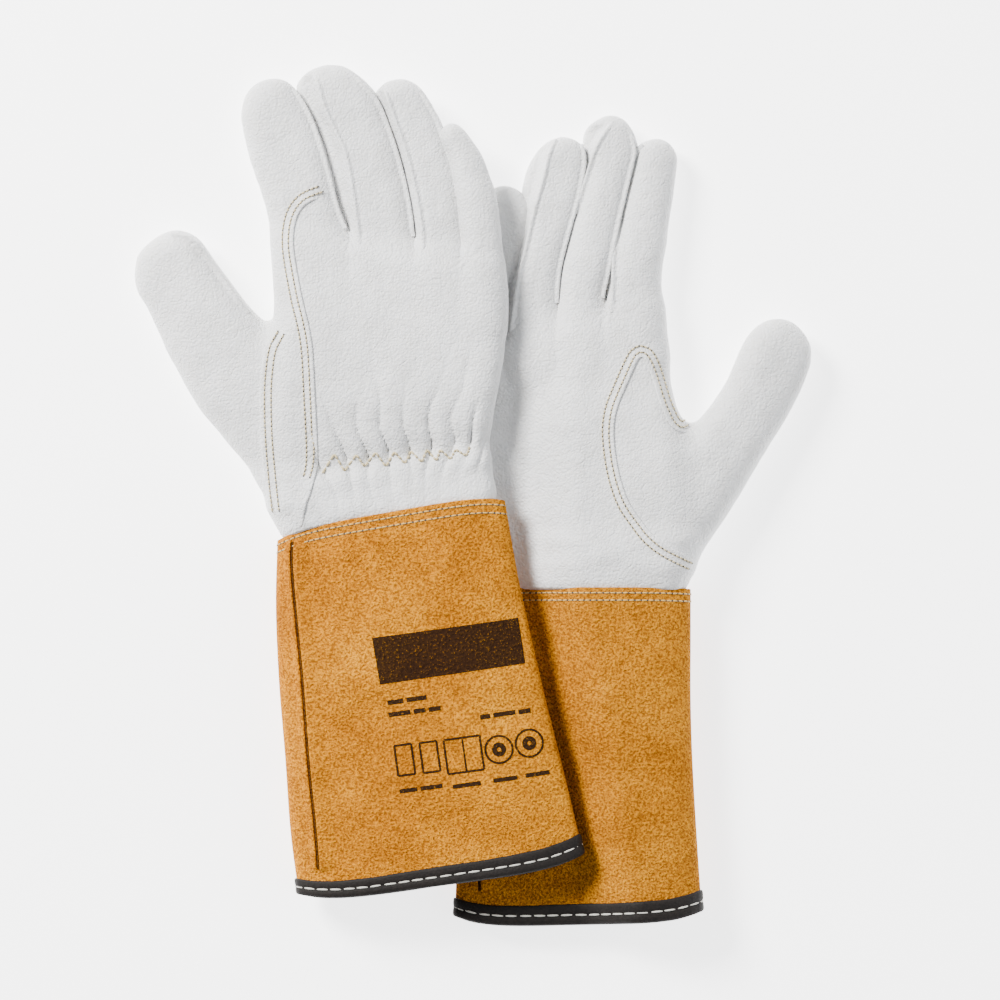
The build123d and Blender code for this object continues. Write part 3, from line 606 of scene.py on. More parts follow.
def lower_heights(part, x, y):
    s = np.clip((x + 6) / 94.0, 0, 1)
    if part == "palm":
        right = cubic(y, [-60, -40, -24, -10, 8, 29, 55, 80], [24.0, 24.6, 26.6, 25.0, 25.6, 25.6, 21.5, 18.6])
        left = cubic(y, [-60, -30, 29, 80], [10.2, 11.2, 11.7, 11.8])
        top = left + (right - left) * ss((s - 0.22) / 0.34)
        top = top + 1.8 * np.exp(-((x - 74) ** 2 + 0.45 * (y - 8) ** 2) / 420) - 1.6 * np.exp(-((x - 46) ** 2 + (y - 22) ** 2) / 500)
        return 0.15 + 0 * x, top
    t = ss((y - 80) / 80)
    if part == "index":
        return 0.1 + 0.6 * t + 0 * x, 18.6 - 2.6 * t
    if part == "middle":
        return 0.1 + 0.6 * t + 0 * x, 18.6 - 2.4 * t
    if part == "ring":
        return 0.1 + 0.6 * t + 0 * x, 16.2 - 1.2 * t
    if part == "little":
        return 0.1 + 0.6 * t + 0 * x, 12.3 - 0.9 * t
    d = ss((x - 92) / 40)
    return 0.1 + 1.6 * ss((x - 118) / 24) + 0 * x, 23.8 - 3.0 * d - 2.0 * ss((x - 118) / 24)


ROUND = {"palm": 11.5, "index": 11.0, "middle": 10.5, "ring": 9.0, "little": 8.5, "thumb": 15.0}
DIGITS = ("index", "middle", "ring", "little", "thumb")


def wrist_coords(glove, x, y):
    """Distance above the wrist line, and the place along it, mm."""
    (x0, y0), (x1, y1) = glove["wrist"]
    w = math.hypot(x1 - x0, y1 - y0)
    ux, uy = (x1 - x0) / w, (y1 - y0) / w
    return -(x - x0) * uy + (y - y0) * ux, (x - x0) * ux + (y - y0) * uy


def folds(glove, v, n, digit):
    """Wrinkles: how far each point of a hand moves out along its normal, mm."""
    x, y = v[:, 0], v[:, 1]
    seed = 11 if glove["face"] > 0 else 47
    q, r = wrist_coords(glove, x, y)
    out = 0.48 * wave(x + 300, y + 300, 21.0, seed) + 0.26 * wave(x + 300, y + 300, 9.5, seed + 1) + 0.09 * wave(x + 300, y + 300, 3.6, seed + 2)
    # the elastic gathers the back of the wrist
    side = n[:, 2] * glove["face"]
    on_back = ss((side + 0.25) / 0.5)
    inner = ss((r - 14) / 14) * ss((96 - r) / 8)
    fan = r - (r - 48) * 0.010 * q + 2.6 * wave(r + 50, q + 70, 12.0, seed + 3)
    pleat = 1.75 * np.abs(np.sin(math.pi * fan / 8.6)) ** 0.36 - 1.38
    uneven = 1 + 0.45 * wave(r + 20, q * 0.15, 8.6, seed + 6)
    far = 11.0 + 7.0 * (1 + wave(r + 40, q * 0.1, 8.6, seed + 7)) / 2
    reach = np.where(q > 2, 2.0 * np.exp(-((q - 2) / far)) + 0.2 * np.exp(-((q - 2) / 34.0)), 1.7 * np.exp(-((2 - q) / 9.0)))
    fine = wave(fan * 1.0 + 7, q * 0.35, 2.3, seed + 8) * np.exp(-np.abs(q - 2) / 12.0)
    out = out + on_back * inner * (uneven * reach * pleat + 0.30 * fine - 1.3 * np.exp(-((q - 2.2) / 5.2) ** 2))
    for cx, cy in mm(glove["crotches"]):
        away = np.hypot(x - cx, y - cy)
        turn = np.arctan2(y - cy, x - cx)
        out = out + 0.45 * np.exp(-(away / 5.0) ** 2) * np.cos(9 * turn + 3 * wave(x + 9, y + 5, 4.0, seed + 9))
    # loose creases across the hollow of the wrist on both faces
    across = wave(r + 90, q * 2.4 + 15, 15.0, seed + 5)
    out = out + 0.55 * across * np.exp(-((q + 8) / 16.0) ** 2)
    # tucked in under the cuff
    (x0, y0), (x1, y1) = mm(glove["mouth"][:2])
    s = np.clip((x - x0) / (x1 - x0), 0, 1)
    under = y0 + (y1 - y0) * s + glove["mouth"][2] * (1 - np.abs(2 * s - 1) ** 5) - y
    return out - 0.5 * ss((under + 3) / 3) - (2.8 if glove["face"] > 0 else 3.6) * ss((under + 0.3) / 2.4)


def recess(glove, part, X, Y):
    """How deep the side panel of a finger lies beside its seam, mm."""
    if part not in glove["seams"]:
        return 0.0 * X, 0.0
    line = mm(glove["seams"][part])[::-1]
    at = np.interp(Y, line[:, 1], line[:, 0])
    left = (at - X) * 0.96
    along = ss((Y - line[0, 1]) / 7.0) * ss((line[-1, 1] + 2 - Y) / 7.0)
    return along * (0.9 * ss((left + 0.2) / 0.9) + 4.4 * ss((left - 0.2) / 4.2)), along * 1.0 * ss(left / 2.5)


def build_hand(glove):
    name, face = glove["name"], glove["face"]
    heights = upper_heights if face > 0 else lower_heights
    outlines = {k: smooth_curve(mm(glove[k]), closed=True, n=4) for k in ("palm",) + DIGITS}
    everything = np.vstack(list(outlines.values()))
    lo = np.array([*(everything.min(0) - 4), -3.0])
    hi = np.array([*(everything.max(0) + 4), 37.0])
    lo[1] = -45.0 if face > 0 else -62.0
    n = np.ceil((hi - lo) / STEP).astype(int) + 1
    X, Y = np.meshgrid(lo[0] + np.arange(n[0]) * STEP, lo[1] + np.arange(n[1]) * STEP, indexing="ij")
    z = (lo[2] + np.arange(n[2]) * STEP).astype(np.float32)
    fields = {}
    for part, outline in outlines.items():
        e = soften(inside_distance(X, Y, outline), 1.3, STEP)
        low, high = heights(part, X, Y)
        lower, wider = recess(glove, part, X, Y)
        high, e = high - lower, e + wider
        half = (high - low) / 2
        R = np.minimum(ROUND[part], half + 2.5)
        u = np.maximum(R - e, 0) / R
        u = u.astype(np.float32)[:, :, None]
        half, mid = half.astype(np.float32)[:, :, None], ((high + low) / 2).astype(np.float32)[:, :, None]
        cz = np.abs((z[None, None, :] - mid) / half)
        fields[part] = half * ((u ** 2.2 + cz ** 2.2) ** (1 / 2.2) - 1)
    palm = fields["palm"]
    joined = {d: smin(palm, fields[d], 9.0 if d == "thumb" else 7.0) for d in DIGITS}
    union = joined["index"]
    for d in DIGITS[1:]:
        union = np.minimum(union, joined[d])
    (ax, ay), (bx, by) = mm(glove["crotches"])
    length = math.hypot(bx - ax, by - ay)
    nx, ny = -(by - ay) / length, (bx - ax) / length
    if ny < 0:
        nx, ny = -nx, -ny
    ahead = lambda p: (p[:, 0] - ax) * nx + (p[:, 1] - ay) * ny - 0.5
    (cx, cy), (dx, dy) = glove["thumb_cut"]
    length = math.hypot(dx - cx, dy - cy)
    tx, ty = -(dy - cy) / length, (dx - cx) / length
    if tx * -face < 0:
        tx, ty = -tx, -ty
    out = lambda p: (p[:, 0] - cx) * tx + (p[:, 1] - cy) * ty
    below_fingers = lambda p: ahead(p) < 0

    pieces, everything = {}, []

    def finish_piece(part, F, rule):
        v, nrm, faces, mids = surface(F, lo, STEP)
        near_end = v[:, 1] < lo[1] + 1.6 * STEP
        v = v + nrm * folds(glove, v, nrm, part)[:, None]
        v[:, 2] = np.maximum(v[:, 2], 0.02)
        full = vertex_normals(v, faces)
        keep = rule(mids) & ~near_end[faces].any(1)
        pv, pf, pn = only(v, faces, keep, full)
        pieces[part] = make(f"{name}_{'hand_leather' if part == 'hand' else part + '_leather'}", pv, pf, M_GRAIN, pn)
        everything.append((pv, pf))

    finish_piece("hand", union, lambda m: below_fingers(m) & ~(out(m) > 0))
    for d in DIGITS[:4]:
        finish_piece(d, joined[d], lambda m: ~below_fingers(m))
    finish_piece("thumb", joined["thumb"], lambda m: (out(m) > 0) & below_fingers(m))
    verts, faces, at = [], [], 0
    for v, f in everything:
        verts.append(v)
        faces.append(f + at)
        at += len(v)
    verts, faces = np.vstack(verts), np.vstack(faces)
    tree = BVHTree.FromPolygons([tuple(p) for p in verts], [tuple(int(i) for i in f) for f in faces])
    glove["tree"], glove["ahead"], glove["thumb_out"] = tree, (nx, ny), (tx, ty)
    glove["pieces"] = pieces
    # what moves with what
    start = lambda x, y, ux, uy, d: tuple((np.array([x + ux * d, y + uy * d, 10.0]) + SHIFT) / 1000)
    mx, my = (ax + bx) / 2, (ay + by) / 2
    for d in DIGITS[:4]:
        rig.blend(pieces[d], f"{name}_hand", f"{name}_{d}", start(mx, my, nx, ny, 1.6), start(mx, my, nx, ny, 17.0))
    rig.blend(pieces["thumb"], f"{name}_hand", f"{name}_thumb", start(cx, cy, tx, ty, 0.9), start(cx, cy, tx, ty, 15.0))
    (wx0, wy0), (wx1, wy1) = glove["wrist"]
    w = math.hypot(wx1 - wx0, wy1 - wy0)
    ux, uy = (wy1 - wy0) / w, -(wx1 - wx0) / w
    glove["bend"] = (start((wx0 + wx1) / 2, (wy0 + wy1) / 2, ux, uy, 2.8), start((wx0 + wx1) / 2, (wy0 + wy1) / 2, ux, uy, 19.0))
    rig.blend(pieces["hand"], f"{name}_hand", f"{name}_gauntlet", *glove["bend"])
    for piece in pieces.values():
        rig.slot(piece, "grain_leather")
    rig.replaces(pieces["hand"], f"{name}_hand_back_panel", f"{name}_hand_palm_panel", f"{name}_wrist_back_panel", f"{name}_wrist_palm_panel")
    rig.replaces(pieces["index"], f"{name}_index_wrap_panel", f"{name}_index_middle_side_fourchette")
    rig.replaces(pieces["middle"], f"{name}_middle_back_panel", f"{name}_middle_palm_panel", f"{name}_middle_index_side_fourchette", f"{name}_middle_ring_side_fourchette")
    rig.replaces(pieces["ring"], f"{name}_ring_back_panel", f"{name}_ring_palm_panel", f"{name}_ring_middle_side_fourchette", f"{name}_ring_little_side_fourchette")
    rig.replaces(pieces["little"], f"{name}_little_back_panel", f"{name}_little_palm_panel", f"{name}_little_ring_side_fourchette")
    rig.replaces(pieces["thumb"], f"{name}_thumb_back_panel", f"{name}_thumb_palm_panel")


def drop(tree, x, y, side=1):
    """Point and normal of a surface straight below (side 1) or above (side -1) a place."""
    hit, normal, _, _ = tree.ray_cast(Vector((x, y, 120.0 * side)), Vector((0, 0, -float(side))))
    if hit is None:
        return None, None
    if normal.z * side < 0:
        normal = -normal
    return np.array(hit), np.array(normal)


def settle(tree, points, side=1):
    """Points and normals of a row dropped on to a surface, gaps filled from their neighbours."""
    pos, nor = [], []
    for x, y in points:
        p, n = drop(tree, x, y, side)
        if p is None:
            near, n2, _, _ = tree.find_nearest(Vector((x, y, 12.0)))
            p, n = np.array(near), np.array(n2)
        pos.append(p)
        nor.append(n)
    return np.array(pos), np.array(nor)


def across(points):
    d = np.gradient(points, axis=0)
    d /= np.maximum(np.linalg.norm(d, axis=1), 1e-9)[:, None]
    return np.stack([d[:, 1], -d[:, 0]], 1)          # to the right of the direction of travel


def strip(name, tree, path, profile, material, side=1, taper=6, flat=None):
    """A long strip of leather lying on a surface: profile is (sideways, height) pairs, mm."""
    path, _ = resample(path, 1.0)
    right = across(path)
    n = len(path)
    fade = np.minimum(1, np.minimum(np.arange(n), np.arange(n)[::-1]) / taper)
    rows = []
    if flat is not None:
        floor_p, floor_n = settle(tree, path + right * flat, side)
        for _ in range(8):
            floor_p[1:-1] = (floor_p[:-2] + 2 * floor_p[1:-1] + floor_p[2:]) / 4
    for t, h in profile:
        p, nor = settle(tree, path + right * t, side)
        if flat is not None and abs(t) < 1.2:
            p = np.column_stack([path + right * t, floor_p[:, 2]])
            nor = floor_n.copy()
        nor = nor * 0.5 + np.array([0, 0, side * 0.5])
        nor /= np.linalg.norm(nor, axis=1)[:, None]
        rows.append(p + nor * ((h + 0.25) * fade - 0.25)[:, None])
    rows = np.array(rows)
    # a light smoothing along the strip takes out the base mesh's facets
    for _ in range(2):
        rows[:, 1:-1] = (rows[:, :-2] + 2 * rows[:, 1:-1] + rows[:, 2:]) / 4
    m = len(profile)
    i, j = np.meshgrid(np.arange(m - 1), np.arange(n - 1), indexing="ij")
    a = (i * n + j).ravel()
    faces = np.stack([a, a + 1, a + n + 1, a + n], 1)
    if side < 0:
        faces = faces[:, ::-1]
    return make(name, rows.reshape(-1, 3), faces, material)


LIP = [(-8.0, -0.25), (-6.0, -0.05), (-4.0, 0.18), (-2.4, 0.42), (-1.1, 0.68), (-0.35, 0.80), (0.0, 0.72), (0.14, 0.45), (0.16, 0.1), (0.12, -0.4)]
SEAM = [(-2.6, -0.25), (-1.9, 0.0), (-1.3, 0.28), (-0.75, 0.42), (-0.35, 0.26), (-0.12, -0.05), (0.0, -0.3), (0.12, -0.05), (0.35, 0.26), (0.75, 0.42), (1.3, 0.28), (1.9, 0.0), (2.6, -0.25)]


def beads(starts, ends, normals, radius, lift):
    """Vertices and faces of many short stitches, each a bowed round bead from start to end."""
    rings, sides = 7, 6
    t = np.linspace(0, 1, rings)
    arch = np.sin(math.pi * t) ** 0.7
    size = radius * (0.35 + 0.65 * np.sin(math.pi * np.clip(t, 0.03, 0.97)) ** 0.5)
    axis = ends - starts
    along = axis / np.maximum(np.linalg.norm(axis, axis=1), 1e-9)[:, None]
    side = np.cross(along, normals)
    side /= np.maximum(np.linalg.norm(side, axis=1), 1e-9)[:, None]
    up = np.cross(side, along)
    a = np.arange(sides) * 2 * math.pi / sides
    centre = starts[:, None] + axis[:, None] * t[None, :, None] + up[:, None] * (arch * lift - 0.12)[None, :, None]
    ring = side[:, None] * np.cos(a)[None, :, None] + up[:, None] * np.sin(a)[None, :, None]
    v = centre[:, :, None] + ring[:, None] * size[None, :, None, None]
    n = len(starts)
    base = (np.arange(n) * rings * sides)[:, None, None]
    i = np.arange(rings - 1)[None, :, None] * sides
    j = np.arange(sides)[None, None, :]
    k = (j + 1) % sides
    faces = np.stack([base + i + j, base + i + k, base + i + sides + k, base + i + sides + j], -1).reshape(-1, 4)
    return v.reshape(-1, 3), faces


def row_of(points, normals, pitch, length, radius, lift, seed=0, closed=False):
    """Stitches along a settled row."""
    if closed:
        points, normals = np.vstack([points, points[:1]]), np.vstack([normals, normals[:1]])
    seg = np.linalg.norm(np.diff(points, axis=0), axis=1)
    s = np.concatenate([[0], np.cumsum(seg)])
    count = int(s[-1] / pitch)
    step = s[-1] / count
    rng = np.random.default_rng(seed)
    mid = (np.arange(count) + 0.5) * step + rng.normal(0, 0.03 * pitch, count)
    at = lambda d, a: np.stack([np.interp(d, s, a[:, k]) for k in range(3)], 1)
    starts, ends, nor = at(mid - length / 2, points), at(mid + length / 2, points), at(mid, normals)
    wobble = rng.normal(0, 0.05, (count, 3))
    v, f = beads(starts + wobble, ends - wobble, nor, radius, lift)
    holes = at(np.arange(count + 1) * step, points), at(np.arange(count + 1) * step, normals)
    return v, f, holes


def stack(meshes):
    verts, faces, at = [], [], 0
    for v, f in meshes:
        verts.append(v)
        faces.append(f + at)
        at += len(v)
    return np.vstack(verts), np.vstack(faces)


def pits(points, normals, radius):
    """Small dished needle holes, which take a near-black colour painted with the holes' shade."""
    a = np.arange(8) * math.pi / 4
    ref = np.where(np.abs(normals[:, :1]) < 0.8, [[1.0, 0, 0]], [[0, 1.0, 0]])
    u = np.cross(normals, ref)
    u /= np.linalg.norm(u, axis=1)[:, None]
    w = np.cross(normals, u)
    rim = points[:, None] + (u[:, None] * np.cos(a)[None, :, None] + w[:, None] * np.sin(a)[None, :, None]) * radius + normals[:, None] * 0.05
    inner = points[:, None] + (u[:, None] * np.cos(a)[None, :, None] + w[:, None] * np.sin(a)[None, :, None]) * radius * 0.3 + normals[:, None] * 0.07
    v = np.concatenate([rim, inner], 1)
    n = len(points)
    base = (np.arange(n) * 16)[:, None]
    j = np.arange(8)[None]
    k = (j + 1) % 8
    ringf = np.stack([base + j, base + k, base + 8 + k, base + 8 + j], -1).reshape(-1, 4)
    cap = np.concatenate([base + 8 + np.array([[0, 1, 2, 3]]), base + 8 + np.array([[0, 3, 4, 7]]), base + 8 + np.array([[4, 5, 6, 7]])], 0)
    return v.reshape(-1, 3), np.vstack([ringf, cap])


def sew(name, tree, paths, pitch, length, radius, lift, material, side=1, holes=True, seed=0, over=(0.0, 0.0)):
    """Rows of stitches dropped on to a surface along paths in layout millimetres."""
    meshes, marks = [], []
    for i, path in enumerate(paths):
        path, _ = resample(path, 0.7)
        p, n = settle(tree, path, side)
        for _ in range(3):
            p[1:-1] = (p[:-2] + 2 * p[1:-1] + p[2:]) / 4
        p = p + n * over[i]
        v, f, h = row_of(p, n, pitch, length, radius, lift, seed + i)
        meshes.append((v, f))
        marks.append(h)
    obj = make(name, *stack(meshes), material)
    dots = None
    if holes:
        # the needle-hole discs carry the painted shade of the holes
        dots = make(name + "_holes", *stack([pits(p, n, 0.42) for p, n in marks]), M_HOLE_PAINTED_SHADE)
    return obj, dots


def offset(path, d):
    path, _ = resample(path, 1.0)
    return path + across(path) * d


build_hand(LOWER)
build_hand(UPPER)


def bend_with_wrist(glove, obj):
    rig.blend(obj, f"{glove['name']}_hand", f"{glove['name']}_gauntlet", *glove["bend"])


# ------------------------------------------------------------------ seams and stitches of the upper hand
def curve(points):
    return smooth_curve(mm(points))


def dress_upper():
    g = UPPER
    tree = g["tree"]
    edge = curve([(324, 196), (316, 199), (306, 204), (298, 214), (294, 230), (294, 250), (298, 275), (303, 300), (308, 320), (312, 340), (314, 360), (315, 380), (317, 420), (318, 462), (312, 490), (306, 508), (302, 532)])
    lip = strip("upper_index_wrap_lip", tree, edge, [(-t, h) for t, h in LIP][::-1], M_GRAIN)
    bend_with_wrist(g, lip)
    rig.slot(lip, "grain_leather")
    rows = [offset(edge, 1.9), offset(edge, 4.6)]
    rows = [r[(r[:, 1] < mm([(0, 186)])[0, 1]) & (r[:, 1] > mm([(0, 478)])[0, 1])] for r in rows]
    obj, dots = sew("upper_index_seam_rows", tree, rows, 1.95, 1.35, 0.40, 0.24, M_CREAM, seed=3, over=(0.55, 0.16))
    for o in (obj, dots):
        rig.ride(o, "upper_hand")
        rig.slot(o, "thread_cream")
    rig.replaces(obj, "upper_index_seam_stitching")
    # the set-in thumb's double row
    seam = curve([(275, 330), (266, 348), (262, 375), (261, 400), (262, 440), (265, 475), (269, 512)])
    groove = strip("upper_thumb_seam_ridge", tree, seam, LIP, M_GRAIN)
    bend_with_wrist(g, groove)
    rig.slot(groove, "grain_leather")
    obj, dots = sew("upper_thumb_seam_rows", tree, [offset(seam, -1.9), offset(seam, -4.6)], 1.95, 1.35, 0.40, 0.24, M_CREAM, seed=9, over=(0.55, 0.16))
    for o in (obj, dots):
        bend_with_wrist(g, o)
        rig.slot(o, "thread_cream")
    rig.replaces(obj, "upper_thumb_seam_stitching")
    # elastic zigzag
    z = mm([(322.5, 473.7), (335, 454), (345, 471.6), (357, 454.7), (364.5, 466.7), (376.5, 452.6), (386, 466.7), (395, 452), (405, 463.8), (411.5, 451), (422, 462.4), (427, 449.8),
            (437, 461), (440.5, 449.8), (451, 459.6), (456, 449.8), (466, 456), (470, 447)])
    return z


def zigzag(glove, z, side):
    name, tree = glove["name"], glove["tree"]
    pts, nor = [], []
    starts, ends, normals = [], [], []
    for a, b in zip(z[:-1], z[1:]):
        n = 3
        for k in range(n):
            p0, n0 = drop(tree, *(a + (b - a) * (k + 0.06) / n), side)
            p1, n1 = drop(tree, *(a + (b - a) * (k + 0.94) / n), side)
            if p0 is None or p1 is None:
                continue
            starts.append(p0), ends.append(p1), normals.append((n0 + n1) / 2)
    v, f = beads(np.array(starts), np.array(ends), np.array(normals), 0.5, 0.5)
    obj = make(f"{name}_elastic_zigzag", v, f, M_CREAM)
    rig.ride(obj, f"{name}_hand")
    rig.slot(obj, "thread_cream")
    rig.replaces(obj, f"{name}_elastic_stitching", f"{name}_wrist_elastic")


zigzag(UPPER, dress_upper(), 1)


BEAD = [(3.0, -0.3), (2.0, -0.05), (1.35, 0.06), (0.85, 0.42), (0.5, 0.74), (0.0, 0.88), (-0.45, 0.74), (-0.75, 0.35), (-0.9, -0.2), (-0.95, -1.0)]
EDGE = [(0.95, -1.2), (0.9, -0.4), (0.75, 0.1), (0.45, 0.42), (0.0, 0.55), (-0.5, 0.42), (-0.85, 0.12), (-1.5, -0.02), (-2.6, -0.25)]


def finger_seam(glove, digit, tag, points, profile=None, side=1):
    obj = strip(f"{glove['name']}_{digit}_{tag}", glove["tree"], curve(points), [(-t, h) for t, h in profile or BEAD], M_GRAIN, side, flat=1.1 if profile else -1.1)
    (ax, ay), (bx, by) = mm(glove["crotches"])
    mx, my = (ax + bx) / 2, (ay + by) / 2
    nx, ny = glove["ahead"]
    at = lambda d: tuple((np.array([mx + nx * d, my + ny * d, 10.0]) + SHIFT) / 1000)
    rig.blend(obj, f"{glove['name']}_hand", f"{glove['name']}_{digit}", at(1.6), at(17.0))
    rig.slot(obj, "grain_leather")


for each in (UPPER, LOWER):
    for part, points in each["seams"].items():
        finger_seam(each, part, "fourchette_seam", points)
finger_seam(UPPER, "index", "right_seam", [(292, 87), (305, 106), (316, 132), (327, 168), (336, 204), (345, 228)], EDGE)
finger_seam(UPPER, "middle", "right_seam", [(352, 73), (365, 86), (379, 104), (393, 141), (403, 176), (410, 210), (413, 236)], EDGE)
finger_seam(UPPER, "ring", "right_seam", [(420, 92), (433, 112), (445, 141), (453, 166), (460, 200), (465, 250)], EDGE)
finger_seam(LOWER, "middle", "right_seam", [(630, 130), (635, 146), (634, 157), (627, 187), (617, 230), (610, 265), (603, 297)], EDGE)
finger_seam(LOWER, "ring", "right_seam", [(581, 142), (585, 158), (580, 192), (570, 228), (560, 268), (557, 302)], EDGE)


def thumb_seam(glove, points):
    obj = strip(f"{glove['name']}_thumb_side_seam", glove["tree"], curve(points), BEAD, M_GRAIN, flat=1.1)
    (cx, cy), _ = glove["thumb_cut"]
    tx, ty = glove["thumb_out"]
    at = lambda d: tuple((np.array([cx + tx * d, cy + ty * d, 10.0]) + SHIFT) / 1000)
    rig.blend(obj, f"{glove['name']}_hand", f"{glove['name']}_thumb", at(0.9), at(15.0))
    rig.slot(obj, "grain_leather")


thumb_seam(UPPER, [(170, 234), (184, 236), (194, 243), (203, 253), (216, 270), (228, 287), (238, 301), (247, 312)])


def dress_lower():
    g = LOWER
    tree = g["tree"]
    apex = [(693, 559), (680, 553), (665, 545), (651, 534), (640, 520), (628, 502), (620, 480), (615, 455), (613, 430), (616, 410), (623, 392), (630, 376), (636, 363), (641, 356), (647, 364),
            (653, 380), (658, 398), (664, 414), (671, 427), (681, 433), (690, 430)]
    seam = curve(apex)
    ridge = strip("lower_thumb_seam_ridge", tree, seam, LIP, M_GRAIN)
    bend_with_wrist(g, ridge)
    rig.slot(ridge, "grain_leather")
    rows = [offset(seam, -1.9), offset(seam, -4.6)]
    obj, dots = sew("lower_thumb_seam_rows", tree, rows, 1.95, 1.35, 0.40, 0.24, M_CREAM, seed=21, over=(0.55, 0.16))
    for o in (obj, dots):
        bend_with_wrist(g, o)
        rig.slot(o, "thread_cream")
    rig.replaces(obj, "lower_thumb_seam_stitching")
    # on the back, which lies on the bench
    edge = curve([(632, 315), (638, 350), (634, 390), (630, 430), (628, 470), (627, 520)])
    rows = [offset(edge, -1.9), offset(edge, -4.6)]
    obj, dots = sew("lower_index_seam_rows", tree, rows, 1.95, 1.45, 0.30, 0.05, M_CREAM, side=-1, seed=31)
    for o in (obj, dots):
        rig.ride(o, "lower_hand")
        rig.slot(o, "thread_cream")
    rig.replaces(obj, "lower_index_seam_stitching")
    n = 19
    z = np.array([(485 + 150 * i / (n - 1), (508 if i % 2 else 522)) for i in range(n)], float)
    zigzag(g, mm(z), -1)


dress_lower()

# ------------------------------------------------------------------ cuffs
CUFFS = {
    "upper": {
        "v": [0.0, 0.16, 0.38, 0.60, 0.80, 1.0],
        "left": [(277, 541), (275.5, 600), (278.5, 680), (285, 760), (290, 830), (298, 893)],
        "right": [(505, 501), (516, 565), (530, 632), (547, 705), (564, 773), (583, 853)],
        "low": [(0.60, 0.82, 14.6), (0.58, 0.79, 15.2), (0.54, 0.74, 16.0), (0.48, 0.68, 16.6), (0.44, 0.62, 16.8), (0.40, 0.57, 17.0)],
        "lift": [0.7, 0.1, 0.1, 0.1, 0.3, 1.6],
        "top": [(26.0, 31.0), (26.6, 31.6), (27.6, 33.0), (28.0, 34.0), (28.2, 34.3), (28.0, 33.8)],
        "bow": (3.4, 4.8), "tilt": 1, "length": 156.0, "material": M_SUEDE, "seam": 0.10, "around": 240, "along": 150,
    },
    "lower": {
        "v": [0.0, 0.16, 0.38, 0.60, 0.80, 1.0],
        "left": [(470, 590), (467, 640), (463, 710), (460, 780), (457, 850), (455, 915)],
        "right": [(691, 590), (691, 640), (691, 700), (693, 765), (697, 835), (702, 910)],
        "low": [(0, 1, 0.0)] * 6,
        "lift": [0.7, 0.1, 0.1, 0.1, 0.3, 1.6],
        "top": [(12.0, 26.6, 0.24, 0.55), (12.6, 27.2, 0.28, 0.60), (13.4, 28.0, 0.32, 0.64), (14.0, 28.4, 0.40, 0.70), (14.2, 28.6, 0.45, 0.74), (14.0, 28.4, 0.50, 0.78)],
        # the lower cuff takes the darker copy of the split leather, with shade painted into its colour
        "bow": (0.6, 4.6), "tilt": 0, "length": 137.0, "material": M_SUEDE_PAINTED_SHADE, "seam": 0.105, "around": 220, "along": 140,
    },
}
SUEDE_WALL = 1.8


def cuff_surface(name, u, d):
    """Outer surface of a cuff at the turns u (0 to 1) and the distance d above the hem, mm."""
    c = CUFFS[name]
    v = 1 - d / c["length"]
    vs = c["v"]
    left, right = mm(c["left"]), mm(c["right"])
    beyond = np.minimum(1 - v, 0)[..., None] + np.maximum(-v, 0)[..., None]
    L, Rt = cubic(v, vs, left), cubic(v, vs, right)
    a = 2 * math.pi * u
    ca, sa = np.cos(a), np.sin(a)
    p = 2 / 2.7
    cx, cz = np.sign(ca) * np.abs(ca) ** p, np.sign(sa) * np.abs(sa) ** p
    s = (cx + 1) / 2
    top = cubic(v, vs, np.array([t[:2] for t in c["top"]]))
    if name == "upper":
        lowt = cubic(v, vs, np.array(c["low"]))
        low = lowt[..., 2] * ss((s - lowt[..., 0]) / (lowt[..., 1] - lowt[..., 0]))
        high = top[..., 0] + (top[..., 1] - top[..., 0]) * ss(s * 1.15) + 0.8 * 4 * s * (1 - s)
    else:
        ramps = cubic(v, vs, np.array([t[2:] for t in c["top"]]))
        low = 0 * s
        high = top[..., 0] + (top[..., 1] - top[..., 0]) * ss((s - ramps[..., 0]) / (ramps[..., 1] - ramps[..., 0]))
    low = low + cubic(v, vs, np.array(c["lift"], float))
    mid, half = (high + low) / 2, (high - low) / 2
    xy = L + (Rt - L) * s[..., None]
    seed = 5 if name == "upper" else 8
    along_top, along_hem = c["bow"]
    bow = (1 - np.abs(cx) ** 5)
    axis = (left[0] + right[0]) / 2 - (left[-1] + right[-1]) / 2
    axis = axis / np.linalg.norm(axis)
    push = bow * (along_top * ss((v - 0.0) * -1 / 0.35 + 1) - along_hem * ss((v - 0.55) / 0.45))
    xy = xy + axis * push[..., None]
    z = mid + half * cz
    # soft waves of the leather
    loose = ss(d / 14) * ss((c["length"] - d) / 12)
    waves = 0.75 * wave(s * 95 + 31, v * 150, 30.0, seed) + 0.35 * wave(s * 95 + 11, v * 150, 13.0, seed + 1) + 0.08 * wave(s * 95, v * 150, 4.0, seed + 2)
    waves = waves * (0.35 + 0.65 * loose)
    z = z + waves * np.where(cz > 0, 1, 0) * np.abs(cz)
    near = (1420 - z) / 1402
    return np.stack([11.3 + (xy[..., 0] - 11.3) * near, -0.2 + (xy[..., 1] + 0.2) * near, z], -1)


def cuff_frame(name, u, d):
    """Point, outward normal and direction towards the hem."""
    e = 1e-3
    p = cuff_surface(name, u, d)
    du = cuff_surface(name, u + e, d) - cuff_surface(name, u - e, d)
    dd = cuff_surface(name, u, d - 0.4) - cuff_surface(name, u, d + 0.4)
    n = np.cross(du, dd)
    n /= np.maximum(np.linalg.norm(n, axis=-1), 1e-9)[..., None]
    t = dd / np.maximum(np.linalg.norm(dd, axis=-1), 1e-9)[..., None]
    return p, n, t


def grid_faces(nu, nd, flip=False):
    i, j = np.meshgrid(np.arange(nu), np.arange(nd - 1), indexing="ij")
    a = i * nd + j
    b = ((i + 1) % nu) * nd + j
    f = np.stack([a, b, b + 1, a + 1], -1).reshape(-1, 4)
    return f[:, ::-1] if flip else f


